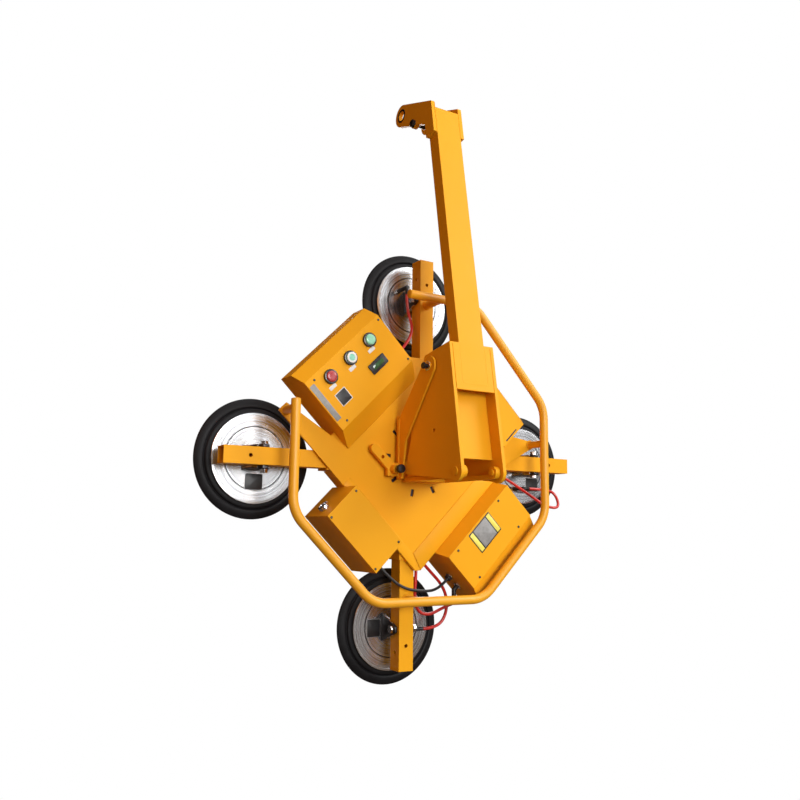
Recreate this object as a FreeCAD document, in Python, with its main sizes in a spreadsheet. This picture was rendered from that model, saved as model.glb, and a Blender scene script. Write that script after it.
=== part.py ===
import FreeCAD
import Part
import Sketcher
import math
import os

# Four-cup vacuum lifter for glass panels, hung from the eye at the top of its boom.
# The part origin is the centre of that eye. X runs across, Z up, Y towards the glass.
# Lengths are in millimetres. "out" means distance from the plane of the cup lips
# towards the operator, that is along -Y.

SIZES = {
    "hub_reach": 87,
    "hub_drop": 1030,
    "boom_lean": 9.4,
    "boom_width": 80,
    "boom_depth": 40,
    "boom_wall": 4,
    "boom_setback": 155,
    "boom_top": 68,
    "boom_foot": 897,
    "eye_hole_radius": 14,
    "eye_lug_radius": 33,
    "head_plate_thick": 12,
    "head_front_top": 50,
    "head_bar_low": 102,
    "head_foot": 149,
    "stop_bolt_radius": 7,
    "stop_bolt_head_radius": 11,
    "stop_bolt_head_length": 9,
    "stop_bolt_back": 60,
    "stop_bolt_low": 66,
    "stop_lug_radius": 14,
    "yoke_inner_width": 120,
    "cheek_thick": 10,
    "yoke_top": 785,
    "cheek_back_top": 38,
    "cheek_back_low": 106,
    "cheek_back_foot": 1077,
    "cheek_hole_radius": 5,
    "cheek_hole_out": 299,
    "cheek_hole_rise": 57,
    "yoke_front_foot": 912,
    "yoke_plate_thick": 8,
    "yoke_back_foot": 1083,
    "foot_plate_thick": 12,
    "foot_plate_length": 60,
    "foot_plate_out": 150,
    "foot_gap": 0.4,
    "hinge_out": 396,
    "hinge_low": 54,
    "hinge_pin_radius": 8,
    "hinge_lug_radius": 26,
    "hinge_barrel_radius": 16,
    "hinge_cap_radius": 11,
    "hinge_cap_thick": 3,
    "hinge_pin_inset": 20,
    "shelf_bar_width": 14,
    "shelf_root": 46,
    "running_gap": 0.05,
    "side_gap": 2,
    "latch_out": 283,
    "latch_rise": 228,
    "latch_pin_radius": 6,
    "latch_lug_radius": 28,
    "latch_boss_radius": 13,
    "latch_boss_thick": 3,
    "latch_knob_radius": 9,
    "latch_knob_thick": 5,
    "latch_travel": 10,
    "gusset_thick": 6,
    "gusset_root_top": 104,
    "gusset_neck_out": 172,
    "gusset_neck_rise": 42,
    "gusset_foot_out": 152,
    "turret_plate_thick": 12,
    "turret_plate_low": 62,
    "turret_plate_high": 110,
    "turret_tab_reach": 112,
    "turret_tab_half": 18,
    "lock_bar_angle": 137,
    "lock_bar_length": 80,
    "lock_bar_half": 13,
    "lock_bar_hole": 48,
    "lock_bar_hole_radius": 5,
    "shelf_thick": 12,
    "bearing_height": 10,
    "bearing_race_radius": 50,
    "bearing_outer_radius": 68,
    "bearing_face_gap": 1,
    "spindle_radius": 30,
    "retainer_radius": 46,
    "retainer_thick": 9,
    "retainer_gap": 0.5,
    "index_radius": 100,
    "index_angle": 202,
    "index_slot_count": 9,
    "index_slot_width": 10,
    "index_slot_length": 20,
    "slot_ring": 100,
    "slot_angle": 219,
    "index_pin_radius": 5,
    "index_housing_radius": 13,
    "index_housing_length": 22,
    "index_knob_radius": 12,
    "index_knob_length": 14,
    "index_travel": 8,
    "index_tip_gap": 2,
    "frame_turn": 45,
    "frame_half": 227,
    "frame_corner_cut": 48,
    "frame_low_cut": 14,
    "plate_out": 115,
    "plate_thick": 6,
    "skirt_depth": 39,
    "skirt_thick": 5,
    "skirt_passage_gap": 2,
    "lug_left_width": 64,
    "lug_margin": 13,
    "arm_size": 45,
    "arm_wall": 4,
    "arm_slip": 0.3,
    "receiver_wall": 5,
    "receiver_start": 78,
    "receiver_end": 282,
    "arm_start": 84,
    "shift_top": 32,
    "shift_bottom": 28,
    "shift_right": -4,
    "shift_left": -18,
    "cup_reach_tall": 469,
    "cup_reach_wide": 450,
    "arm_past_top": 118,
    "arm_past_bottom": 110,
    "arm_past_right": 120,
    "arm_past_left": 115,
    "arm_spare_hole": 62,
    "arm_spare_hole_radius": 5,
    "cup_bolt_radius": 6,
    "bolt_head_flat": 9.5,
    "bolt_head_length": 8,
    "bolt_nut_length": 10,
    "arm_bolt_radius": 5,
    "arm_bolt_place": 215,
    "cup_lip_radius": 160,
    "cup_lip_width": 9,
    "cup_disc_radius": 120,
    "cup_disc_thick": 9,
    "cup_disc_out": 13,
    "cup_seal_thick": 6,
    "cup_seal_bore": 70,
    "cup_lip_thick": 3,
    "cup_lip_rise": 4,
    "seal_rim": 3,
    "seal_step_run": 9.4,
    "seal_shoulder": 3,
    "seal_step_drop": 2.6,
    "cup_lug_thick": 8,
    "cup_lug_gap": 1,
    "cup_lug_half": 38,
    "cup_lug_tip": 15,
    "cup_bolt_float": 0.5,
    "hose_radius": 4.4,
    "cable_radius": 4,
    "port_radius": 6.5,
    "port_rise": 55,
    "port_nipple_radius": 5.5,
    "port_nipple_length": 20,
    "port_gap": 1.5,
    "port_top_side": 52.5,
    "port_top_along": 35,
    "port_bottom_side": 50,
    "port_bottom_along": 4,
    "port_right_side": 74,
    "port_right_back": 38,
    "gland_radius": 10,
    "gland_length": 14,
    "console_gland_inset": 25,
    "console_gland_out": 92,
    "pump_gland_out": 100,
    "pump_cable_inset": 89,
    "battery_gland_inset": 69,
    "battery_gland_out": 112,
    "manifold_along": 186,
    "manifold_inset": 23,
    "outlet_shift": 1,
    "manifold_width": 16,
    "manifold_depth": 22,
    "outlet_out": 98,
    "outlet_radius": 5,
    "outlet_length": 14,
    "side_block_across": 262,
    "side_block_drop": 32,
    "side_block_width": 14,
    "feed_inset": 127,
    "feed_reach": 20,
    "feed_drop": 36,
    "feed_slope": 18,
    "console_half_length": 150,
    "console_height": 193,
    "console_bevel_height": 33,
    "console_bevel_depth": 35,
    "console_out": 165,
    "console_back": 66,
    "console_slope_run": 60,
    "box_wall": 3,
    "panel_thick": 3,
    "button_pitch": 80,
    "button_margin": 34,
    "button_radius": 15,
    "button_cap_height": 10,
    "button_stem_radius": 9,
    "button_stem_length": 22,
    "button_travel": 3,
    "bezel_radius": 20,
    "bezel_height": 8,
    "bezel_gap": 0.3,
    "display_along": 56,
    "display_drop": 65,
    "display_length": 62,
    "display_height": 30,
    "display_proud": 4,
    "display_rim": 4,
    "board_length": 220,
    "board_height": 110,
    "board_thick": 6,
    "battery_box_width": 113,
    "battery_box_half_length": 102,
    "battery_box_out": 178,
    "box_back": 70,
    "deep_box_back": 44,
    "socket_out": 124,
    "battery_width": 92,
    "battery_half_length": 84,
    "battery_depth": 78,
    "socket_radius": 15,
    "socket_length": 12,
    "socket_along": 84,
    "pump_box_width": 183,
    "pump_box_half_length": 146,
    "pump_box_out": 165,
    "pump_box_bevel": 15,
    "pump_box_round": 45,
    "pump_box_round_depth": 18,
    "pump_motor_radius": 36,
    "pump_motor_length": 130,
    "pump_head_length": 70,
    "pump_head_width": 84,
    "valve_box_width": 120,
    "valve_box_up": 138,
    "valve_box_down": 164,
    "valve_box_out": 152,
    "valve_box_bevel": 16,
    "reservoir_radius": 33,
    "reservoir_half_length": 135,
    "rail_radius": 12.5,
    "rail_wall": 2,
    "rail_out": 180,
    "rail_half_width": 408,
    "rail_top": 451,
    "rail_bottom": 389,
    "rail_upper_sum": 600,
    "rail_upper_drop": 20,
    "rail_lower_sum": 566,
    "rail_left_end": 122,
    "rail_top_end": 73,
    "rail_bend": 95,
    "post_radius": 11,
    "post_left_rise": 102,
    "post_right_rise": 62,
}

doc = FreeCAD.newDocument("glass_panel_lifter")
dim = doc.addObject("Spreadsheet::Sheet", "dim")
for row, name in enumerate(SIZES):
    cell = "B%d" % (row + 1)
    dim.set("A%d" % (row + 1), name)
    dim.set(cell, str(SIZES[name]))
    dim.setAlias(cell, name)

# Places of the hinge and the latch seen from the eye, in the leaning frame of the boom.
place = doc.addObject("Spreadsheet::Sheet", "place")
PLACES = {
    "lean_sin": "=sin(dim.boom_lean * 1 deg)",
    "lean_cos": "=cos(dim.boom_lean * 1 deg)",
    "hinge_across": "=(dim.hub_reach - dim.hinge_out) * lean_cos + (dim.hub_drop + dim.hinge_low) * lean_sin",
    "hinge_up": "=(dim.hub_reach - dim.hinge_out) * lean_sin - (dim.hub_drop + dim.hinge_low) * lean_cos",
    "hole_across": "=(dim.hub_reach - dim.cheek_hole_out) * lean_cos + (dim.hub_drop - dim.cheek_hole_rise) * lean_sin",
    "hole_up": "=(dim.hub_reach - dim.cheek_hole_out) * lean_sin - (dim.hub_drop - dim.cheek_hole_rise) * lean_cos",
    "latch_across": "=(dim.hub_reach - dim.latch_out) * lean_cos + (dim.hub_drop - dim.latch_rise) * lean_sin",
    "latch_up": "=(dim.hub_reach - dim.latch_out) * lean_sin - (dim.hub_drop - dim.latch_rise) * lean_cos",
    "cheek_face": "=dim.yoke_inner_width / 2 + dim.cheek_thick",
    "gusset_face": "=cheek_face + dim.side_gap",
    "gusset_outer": "=gusset_face + dim.gusset_thick",
    "turret_back_out": "=dim.plate_out + dim.bearing_height",
    "turret_front_out": "=turret_back_out + dim.turret_plate_thick",
    "plate_back_out": "=dim.plate_out - dim.plate_thick",
    "receiver_half": "=dim.arm_size / 2 + dim.arm_slip + dim.receiver_wall",
    "arm_centre_out": "=plate_back_out - receiver_half",
    "arm_front_out": "=arm_centre_out + dim.arm_size / 2",
    "disc_front_out": "=dim.cup_disc_out + dim.cup_disc_thick",
    "port_out": "=disc_front_out + dim.port_rise",
    "index_across": "=dim.index_radius * cos(dim.index_angle * 1 deg)",
    "index_rise": "=dim.index_radius * sin(dim.index_angle * 1 deg)",
    "valve_box_half": "=(dim.valve_box_up + dim.valve_box_down) / 2",
    "valve_box_middle": "=(dim.valve_box_up - dim.valve_box_down) / 2",
    "console_outer": "=dim.frame_half + dim.console_height",
    "button_row": "=console_outer - dim.console_bevel_height - dim.button_margin",
    "display_row": "=button_row - dim.display_drop",
    "turn_sin": "=sin(dim.frame_turn * 1 deg)",
    "turn_cos": "=cos(dim.frame_turn * 1 deg)",
    "post_left_along": "=dim.post_left_rise * turn_sin - dim.rail_half_width * turn_cos",
    "post_left_up": "=dim.post_left_rise * turn_cos + dim.rail_half_width * turn_sin",
    "post_right_along": "=dim.rail_half_width * turn_cos + dim.post_right_rise * turn_sin",
    "post_right_up": "=dim.post_right_rise * turn_cos - dim.rail_half_width * turn_sin",
}
for row, name in enumerate(PLACES):
    cell = "B%d" % (row + 1)
    place.set(cell, PLACES[name])
    place.setAlias(cell, name)
doc.recompute()

ACROSS = FreeCAD.Vector(1, 0, 0)
TOWARDS = FreeCAD.Vector(0, 1, 0)
UP = FreeCAD.Vector(0, 0, 1)
NODES = []


def size(name):
    """A driving dimension as a number."""
    return float(dim.get(name))


def spot(name):
    """A derived place as a number."""
    return float(place.get(name))


def new_body(label):
    body = doc.addObject("PartDesign::Body", label)
    body.Label = label
    NODES.append(body)
    return body


def hung_from_eye(body):
    """Stands in the leaning frame of the boom, whose origin is the eye."""
    body.Placement = FreeCAD.Placement(FreeCAD.Vector(), FreeCAD.Rotation(-ACROSS, 1))
    body.setExpression("Placement.Rotation.Angle", "dim.boom_lean * 1 deg")


def on_hub(body, axis=TOWARDS, angle=0):
    """Stands on the hub axis, in the plane of the cup lips."""
    body.Placement = FreeCAD.Placement(FreeCAD.Vector(), FreeCAD.Rotation(axis, angle))
    body.setExpression("Placement.Base.y", "dim.hub_reach")
    body.setExpression("Placement.Base.z", "0 - dim.hub_drop")


def on_diamond(body):
    """As on_hub, turned with the square frame that stands on its corner."""
    on_hub(body, -TOWARDS, 1)
    body.setExpression("Placement.Rotation.Angle", "dim.frame_turn * 1 deg")


def sketch_on(body, role, lift="0"):
    """A sketch on a plane of the body's own origin, lifted along the plane's normal."""
    sketch = body.newObject("Sketcher::SketchObject", body.Name + "_sketch")
    for feature in body.Origin.OriginFeatures:
        if feature.Role == role:
            sketch.AttachmentSupport = [(feature, "")]
    sketch.MapMode = "FlatFace"
    sketch.setExpression("AttachmentOffset.Base.z", lift)
    return sketch


def pin_point(sketch, geometry, point, across, up):
    """Binds a point of the sketch to two expressions."""
    for kind, formula in (("DistanceX", across), ("DistanceY", up)):
        index = sketch.addConstraint(Sketcher.Constraint(kind, -1, 1, geometry, point, 1.0))
        sketch.setExpression("Constraints[%d]" % index, formula)


def outline(sketch, corners):
    """A closed outline of straight sides; each corner is a pair of expressions."""
    first = sketch.GeometryCount
    count = len(corners)
    start = []
    for number in range(count):
        angle = 2 * math.pi * number / count
        start.append(FreeCAD.Vector(math.cos(angle), math.sin(angle), 0))
    for number in range(count):
        sketch.addGeometry(Part.LineSegment(start[number], start[(number + 1) % count]))
    for number in range(count):
        following = first + (number + 1) % count
        sketch.addConstraint(Sketcher.Constraint("Coincident", first + number, 2, following, 1))
    for number, corner in enumerate(corners):
        pin_point(sketch, first + number, 1, corner[0], corner[1])


def rectangle(sketch, left, right, low, high):
    outline(sketch, [(left, low), (right, low), (right, high), (left, high)])


def circle(sketch, across, up, radius):
    index = sketch.addGeometry(Part.Circle(FreeCAD.Vector(), UP, 1))
    pin_point(sketch, index, 3, across, up)
    number = sketch.addConstraint(Sketcher.Constraint("Radius", index, 1.0))
    sketch.setExpression("Constraints[%d]" % number, radius)


def pad(body, sketch, length, symmetric=False):
    feature = body.newObject("PartDesign::Pad", body.Name + "_pad")
    feature.Profile = sketch
    feature.setExpression("Length", length)
    if symmetric:
        feature.SideType = "Symmetric"
    body.Tip = feature
    return feature


def pocket(body, sketch, length=None):
    """Cuts evenly to both sides of the sketch, or through everything."""
    feature = body.newObject("PartDesign::Pocket", body.Name + "_pocket")
    feature.Profile = sketch
    feature.SideType = "Symmetric"
    if length is None:
        feature.Type = "ThroughAll"
    else:
        feature.setExpression("Length", length)
    body.Tip = feature
    return feature


def revolve(body, sketch, axis):
    feature = body.newObject("PartDesign::Revolution", body.Name + "_turned")
    feature.Profile = sketch
    feature.ReferenceAxis = (sketch, [axis])
    feature.Angle = 360
    body.Tip = feature
    return feature


def coded(label, shape):
    """A piece whose shape is made in code, in hub coordinates, then put on the hub."""
    feature = doc.addObject("Part::Feature", label)
    feature.Label = label
    feature.Shape = shape
    on_hub(feature)
    NODES.append(feature)
    return feature


def grouped(label, pieces):
    """Several equal small pieces that share one node."""
    group = doc.addObject("Part::Compound", label)
    group.Label = label
    group.Links = pieces
    NODES.append(group)
    return group


def boom_tube():
    body = new_body("boom_tube")
    hung_from_eye(body)
    front = "0 - dim.boom_setback"
    back = "dim.boom_depth - dim.boom_setback"
    sketch = sketch_on(body, "XY_Plane", "0 - dim.boom_foot")
    half = "dim.boom_width / 2"
    rectangle(sketch, "0 - " + half, half, front, back)
    inner = half + " - dim.boom_wall"
    rectangle(sketch, "dim.boom_wall - " + half, inner, front + " + dim.boom_wall", back + " - dim.boom_wall")
    pad(body, sketch, "dim.boom_foot - dim.boom_top")


def head_plate(label, lift):
    """Side plate of the boom head: a bar rising back to the round eye end."""
    body = new_body(label)
    hung_from_eye(body)
    front = "0 - dim.boom_setback"
    back = "dim.boom_depth - dim.boom_setback"
    sketch = sketch_on(body, "YZ_Plane", lift)
    slope = "dim.eye_lug_radius * 0.49"
    drop = "dim.eye_lug_radius * 0.87"
    corners = [
        (front, "0 - dim.head_front_top"),
        ("0 - " + slope, drop),
        (slope, "0 - " + drop),
        (back, "0 - dim.head_bar_low"),
        (back, "0 - dim.head_foot"),
        (front, "0 - dim.head_foot"),
    ]
    outline(sketch, corners)
    pad(body, sketch, "dim.head_plate_thick")
    sketch = sketch_on(body, "YZ_Plane", lift)
    circle(sketch, "0", "0", "dim.eye_lug_radius")
    pad(body, sketch, "dim.head_plate_thick")
    sketch = sketch_on(body, "YZ_Plane", lift)
    circle(sketch, "0 - dim.stop_bolt_back", "0 - dim.stop_bolt_low", "dim.stop_lug_radius")
    pad(body, sketch, "dim.head_plate_thick")
    sketch = sketch_on(body, "YZ_Plane", lift)
    circle(sketch, "0", "0", "dim.eye_hole_radius")
    circle(sketch, "0 - dim.stop_bolt_back", "0 - dim.stop_bolt_low", "dim.stop_bolt_radius")
    pocket(body, sketch)


def head_stop_bolt():
    """Cross bolt under the bar that keeps a hook from sliding down to the boom."""
    body = new_body("head_stop_bolt")
    hung_from_eye(body)
    half = "dim.boom_width / 2 + dim.head_plate_thick"
    across = "0 - dim.stop_bolt_back"
    up = "0 - dim.stop_bolt_low"
    sketch = sketch_on(body, "YZ_Plane")
    circle(sketch, across, up, "dim.stop_bolt_radius")
    pad(body, sketch, "2 * (" + half + ")", True)
    for lift in (half, "0 - (" + half + ") - dim.stop_bolt_head_length"):
        sketch = sketch_on(body, "YZ_Plane", lift)
        circle(sketch, across, up, "dim.stop_bolt_head_radius")
        pad(body, sketch, "dim.stop_bolt_head_length")


def yoke_cheek(label, lift):
    """Deep side plate of the yoke, from the boom down to the hinge lug."""
    body = new_body(label)
    hung_from_eye(body)
    front = "0 - dim.boom_setback"
    sketch = sketch_on(body, "YZ_Plane", lift)
    corners = [
        (front, "0 - dim.yoke_top"),
        ("0 - dim.cheek_back_top", "0 - dim.yoke_top"),
        ("dim.cheek_back_low", "0 - dim.cheek_back_foot"),
        ("place.hinge_across", "place.hinge_up - dim.hinge_lug_radius * 0.94"),
        ("place.hinge_across - dim.hinge_lug_radius", "place.hinge_up"),
    ]
    outline(sketch, corners)
    pad(body, sketch, "dim.cheek_thick")
    sketch = sketch_on(body, "YZ_Plane", lift)
    circle(sketch, "place.hinge_across", "place.hinge_up", "dim.hinge_lug_radius")
    pad(body, sketch, "dim.cheek_thick")
    sketch = sketch_on(body, "YZ_Plane", lift)
    circle(sketch, "place.hinge_across", "place.hinge_up", "dim.hinge_pin_radius")
    circle(sketch, "place.latch_across", "place.latch_up", "dim.latch_pin_radius + dim.bezel_gap")
    circle(sketch, "place.hole_across", "place.hole_up", "dim.cheek_hole_radius")
    pocket(body, sketch)


def yoke_front_plate():
    """Plate between the cheeks with a notch for the boom, its front in line with the boom."""
    body = new_body("yoke_front_plate")
    hung_from_eye(body)
    half = "dim.yoke_inner_width / 2"
    slot = "dim.boom_width / 2"
    sketch = sketch_on(body, "XZ_Plane", "dim.boom_setback - dim.yoke_plate_thick")
    corners = [
        ("0 - " + half, "0 - dim.yoke_top"),
        ("0 - " + half, "0 - dim.yoke_front_foot"),
        (half, "0 - dim.yoke_front_foot"),
        (half, "0 - dim.yoke_top"),
        (slot, "0 - dim.yoke_top"),
        (slot, "0 - dim.boom_foot"),
        ("0 - " + slot, "0 - dim.boom_foot"),
        ("0 - " + slot, "0 - dim.yoke_top"),
    ]
    outline(sketch, corners)
    pad(body, sketch, "dim.yoke_plate_thick")


def yoke_back_plate():
    body = new_body("yoke_back_plate")
    hung_from_eye(body)
    half = "dim.yoke_inner_width / 2"
    sketch = sketch_on(body, "XZ_Plane", "dim.boom_setback - dim.boom_depth - dim.yoke_plate_thick")
    rectangle(sketch, "0 - " + half, half, "0 - dim.yoke_back_foot", "0 - dim.yoke_top")
    pad(body, sketch, "dim.yoke_plate_thick")


def yoke_foot_plate():
    """Cross plate that sits down on the turret shelf when the frame hangs upright."""
    body = new_body("yoke_foot_plate")
    on_hub(body)
    half = "dim.yoke_inner_width / 2"
    sketch = sketch_on(body, "XZ_Plane", "dim.foot_plate_out")
    low = "0 - dim.hinge_low - dim.hinge_barrel_radius + dim.shelf_thick + dim.foot_gap"
    rectangle(sketch, "0 - " + half, half, low, low + " + dim.foot_plate_thick")
    pad(body, sketch, "dim.foot_plate_length")


def hinge_pin():
    """Two short pins, one through each cheek into the shelf knuckle beside it."""
    body = new_body("hinge_pin")
    on_hub(body)
    body.AllowCompound = True
    reach = "place.cheek_face - (dim.yoke_inner_width / 2 - dim.hinge_pin_inset)"
    for lift in ("dim.yoke_inner_width / 2 - dim.hinge_pin_inset", "0 - place.cheek_face"):
        sketch = sketch_on(body, "YZ_Plane", lift)
        circle(sketch, "0 - dim.hinge_out", "0 - dim.hinge_low", "dim.hinge_pin_radius")
        pad(body, sketch, reach)
    for lift in ("place.cheek_face", "0 - place.cheek_face - dim.hinge_cap_thick"):
        sketch = sketch_on(body, "YZ_Plane", lift)
        circle(sketch, "0 - dim.hinge_out", "0 - dim.hinge_low", "dim.hinge_cap_radius")
        pad(body, sketch, "dim.hinge_cap_thick")


def along_bar(reach, offset):
    """Place on the slanted bar beside the index plunger."""
    angle = "(dim.lock_bar_angle * 1 deg)"
    across = "place.index_across + " + reach + " * cos" + angle + " - (" + offset + ") * sin" + angle
    rise = "place.index_rise + " + reach + " * sin" + angle + " + (" + offset + ") * cos" + angle
    return across, rise


def turret_base_plate():
    """Plate on the slewing bearing, with a tab, guide tube and slanted bar for the index plunger."""
    body = new_body("turret_base_plate")
    on_hub(body)
    sketch = sketch_on(body, "XZ_Plane", "place.turret_back_out")
    right = "place.gusset_outer"
    left = "0 - place.gusset_outer"
    tab = "0 - dim.turret_tab_reach"
    tab_low = "place.index_rise - dim.turret_tab_half"
    tab_high = "place.index_rise + dim.turret_tab_half"
    low = "0 - dim.turret_plate_low"
    high = "dim.turret_plate_high"
    corners = [
        (left, low),
        (right, low),
        (right, high),
        (left, high),
        (left, tab_high),
        (tab, tab_high),
        (tab, tab_low),
        (left, tab_low),
    ]
    outline(sketch, corners)
    pad(body, sketch, "dim.turret_plate_thick")
    sketch = sketch_on(body, "XZ_Plane", "place.turret_back_out")
    bar = []
    for reach, side in (("0", -1), ("dim.lock_bar_length", -1), ("dim.lock_bar_length", 1), ("0", 1)):
        bar.append(along_bar(reach, "%d * dim.lock_bar_half" % side))
    outline(sketch, bar)
    pad(body, sketch, "dim.turret_plate_thick")
    sketch = sketch_on(body, "XZ_Plane", "place.turret_back_out")
    circle(sketch, *along_bar("dim.lock_bar_length", "0"), "dim.lock_bar_half")
    pad(body, sketch, "dim.turret_plate_thick")
    sketch = sketch_on(body, "XZ_Plane", "place.turret_back_out")
    circle(sketch, *along_bar("dim.lock_bar_hole", "0"), "dim.lock_bar_hole_radius")
    pocket(body, sketch)
    sketch = sketch_on(body, "XZ_Plane", "place.turret_front_out")
    circle(sketch, "place.index_across", "place.index_rise", "dim.index_housing_radius")
    pad(body, sketch, "dim.index_housing_length")
    sketch = sketch_on(body, "XZ_Plane", "place.turret_back_out")
    circle(sketch, "place.index_across", "place.index_rise", "dim.index_pin_radius + dim.running_gap")
    pocket(body, sketch)


def turret_gusset(label, lift, boss):
    """Side gusset whose lug carries the tilt latch; the left one has the latch boss."""
    body = new_body(label)
    on_hub(body)
    root = "0 - place.turret_front_out"
    latch_y = "0 - dim.latch_out"
    sketch = sketch_on(body, "YZ_Plane", lift)
    corners = [
        (root, "0 - dim.turret_plate_low"),
        (root, "dim.gusset_root_top"),
        (latch_y + " + dim.latch_lug_radius * 0.6", "dim.latch_rise + dim.latch_lug_radius * 0.8"),
        (latch_y + " - dim.latch_lug_radius * 0.7", "dim.latch_rise - dim.latch_lug_radius * 0.72"),
        ("0 - dim.gusset_neck_out", "dim.gusset_neck_rise"),
        ("0 - dim.gusset_foot_out", "0 - dim.turret_plate_low"),
    ]
    outline(sketch, corners)
    pad(body, sketch, "dim.gusset_thick")
    sketch = sketch_on(body, "YZ_Plane", lift)
    circle(sketch, latch_y, "dim.latch_rise", "dim.latch_lug_radius")
    pad(body, sketch, "dim.gusset_thick")
    if boss:
        sketch = sketch_on(body, "YZ_Plane", lift + " - dim.latch_boss_thick")
        circle(sketch, latch_y, "dim.latch_rise", "dim.latch_boss_radius")
        pad(body, sketch, "dim.latch_boss_thick")
    sketch = sketch_on(body, "YZ_Plane", lift)
    circle(sketch, latch_y, "dim.latch_rise", "dim.latch_pin_radius + dim.running_gap")
    pocket(body, sketch)


def turret_shelf():
    """Forked shelf under the yoke, its two bars ending in the hinge knuckles."""
    body = new_body("turret_shelf")
    on_hub(body)
    low = "0 - dim.hinge_low - dim.hinge_barrel_radius"
    half = "dim.yoke_inner_width / 2 - dim.side_gap"
    sketch = sketch_on(body, "YZ_Plane")
    rectangle(sketch, "0 - dim.hinge_out", "0 - place.turret_front_out", low, low + " + dim.shelf_thick")
    pad(body, sketch, "2 * (" + half + ")", True)
    sketch = sketch_on(body, "YZ_Plane")
    circle(sketch, "0 - dim.hinge_out", "0 - dim.hinge_low", "dim.hinge_barrel_radius")
    pad(body, sketch, "2 * (" + half + ")", True)
    sketch = sketch_on(body, "YZ_Plane")
    circle(sketch, "0 - dim.hinge_out", "0 - dim.hinge_low", "dim.hinge_pin_radius + dim.running_gap")
    pocket(body, sketch)
    sketch = sketch_on(body, "XY_Plane", low)
    open_half = half + " - dim.shelf_bar_width"
    rectangle(sketch, "0 - (" + open_half + ")", open_half, "0 - dim.hinge_out - 2 * dim.hinge_barrel_radius",
              "0 - place.turret_front_out - dim.shelf_root")
    pocket(body, sketch)


def bearing_spindle():
    """Inner ring of the slewing bearing with the stub that passes through the face plate."""
    body = new_body("bearing_spindle")
    on_hub(body)
    sketch = sketch_on(body, "XZ_Plane", "dim.plate_out + dim.bearing_face_gap")
    circle(sketch, "0", "0", "dim.bearing_race_radius")
    pad(body, sketch, "dim.bearing_height - dim.bearing_face_gap")
    sketch = sketch_on(body, "XZ_Plane", "place.plate_back_out - dim.retainer_gap")
    circle(sketch, "0", "0", "dim.spindle_radius")
    pad(body, sketch, "dim.plate_thick + dim.retainer_gap + 2 * dim.bearing_face_gap")


def spindle_retainer():
    body = new_body("spindle_retainer")
    on_hub(body)
    sketch = sketch_on(body, "XZ_Plane", "place.plate_back_out - dim.retainer_gap - dim.retainer_thick")
    circle(sketch, "0", "0", "dim.retainer_radius")
    pad(body, sketch, "dim.retainer_thick")


def bearing_outer_ring():
    body = new_body("bearing_outer_ring")
    on_hub(body)
    sketch = sketch_on(body, "XZ_Plane", "dim.plate_out")
    circle(sketch, "0", "0", "dim.bearing_outer_radius")
    circle(sketch, "0", "0", "dim.bearing_race_radius + dim.running_gap")
    pad(body, sketch, "dim.bearing_height - dim.bearing_face_gap")


def index_plunger():
    """Plunger that drops into a slot of the face plate; drawn in its parked place."""
    body = new_body("index_plunger")
    on_hub(body)
    tip = "dim.plate_out + dim.index_tip_gap"
    knob = "place.turret_front_out + dim.index_housing_length + dim.index_travel"
    sketch = sketch_on(body, "XZ_Plane", tip)
    circle(sketch, "place.index_across", "place.index_rise", "dim.index_pin_radius")
    pad(body, sketch, knob + " - (" + tip + ")")
    sketch = sketch_on(body, "XZ_Plane", knob)
    circle(sketch, "place.index_across", "place.index_rise", "dim.index_knob_radius")
    pad(body, sketch, "dim.index_knob_length")


def latch_plunger():
    """Tilt latch, drawn pulled out of the cheek."""
    body = new_body("latch_plunger")
    on_hub(body)
    knob = "0 - place.gusset_outer - dim.latch_boss_thick - dim.latch_travel"
    sketch = sketch_on(body, "YZ_Plane", knob)
    circle(sketch, "0 - dim.latch_out", "dim.latch_rise", "dim.latch_pin_radius")
    pad(body, sketch, "dim.latch_travel + dim.latch_boss_thick + dim.gusset_thick - 1")
    sketch = sketch_on(body, "YZ_Plane", knob + " - dim.latch_knob_thick")
    circle(sketch, "0 - dim.latch_out", "dim.latch_rise", "dim.latch_knob_radius")
    pad(body, sketch, "dim.latch_knob_thick")


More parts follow.
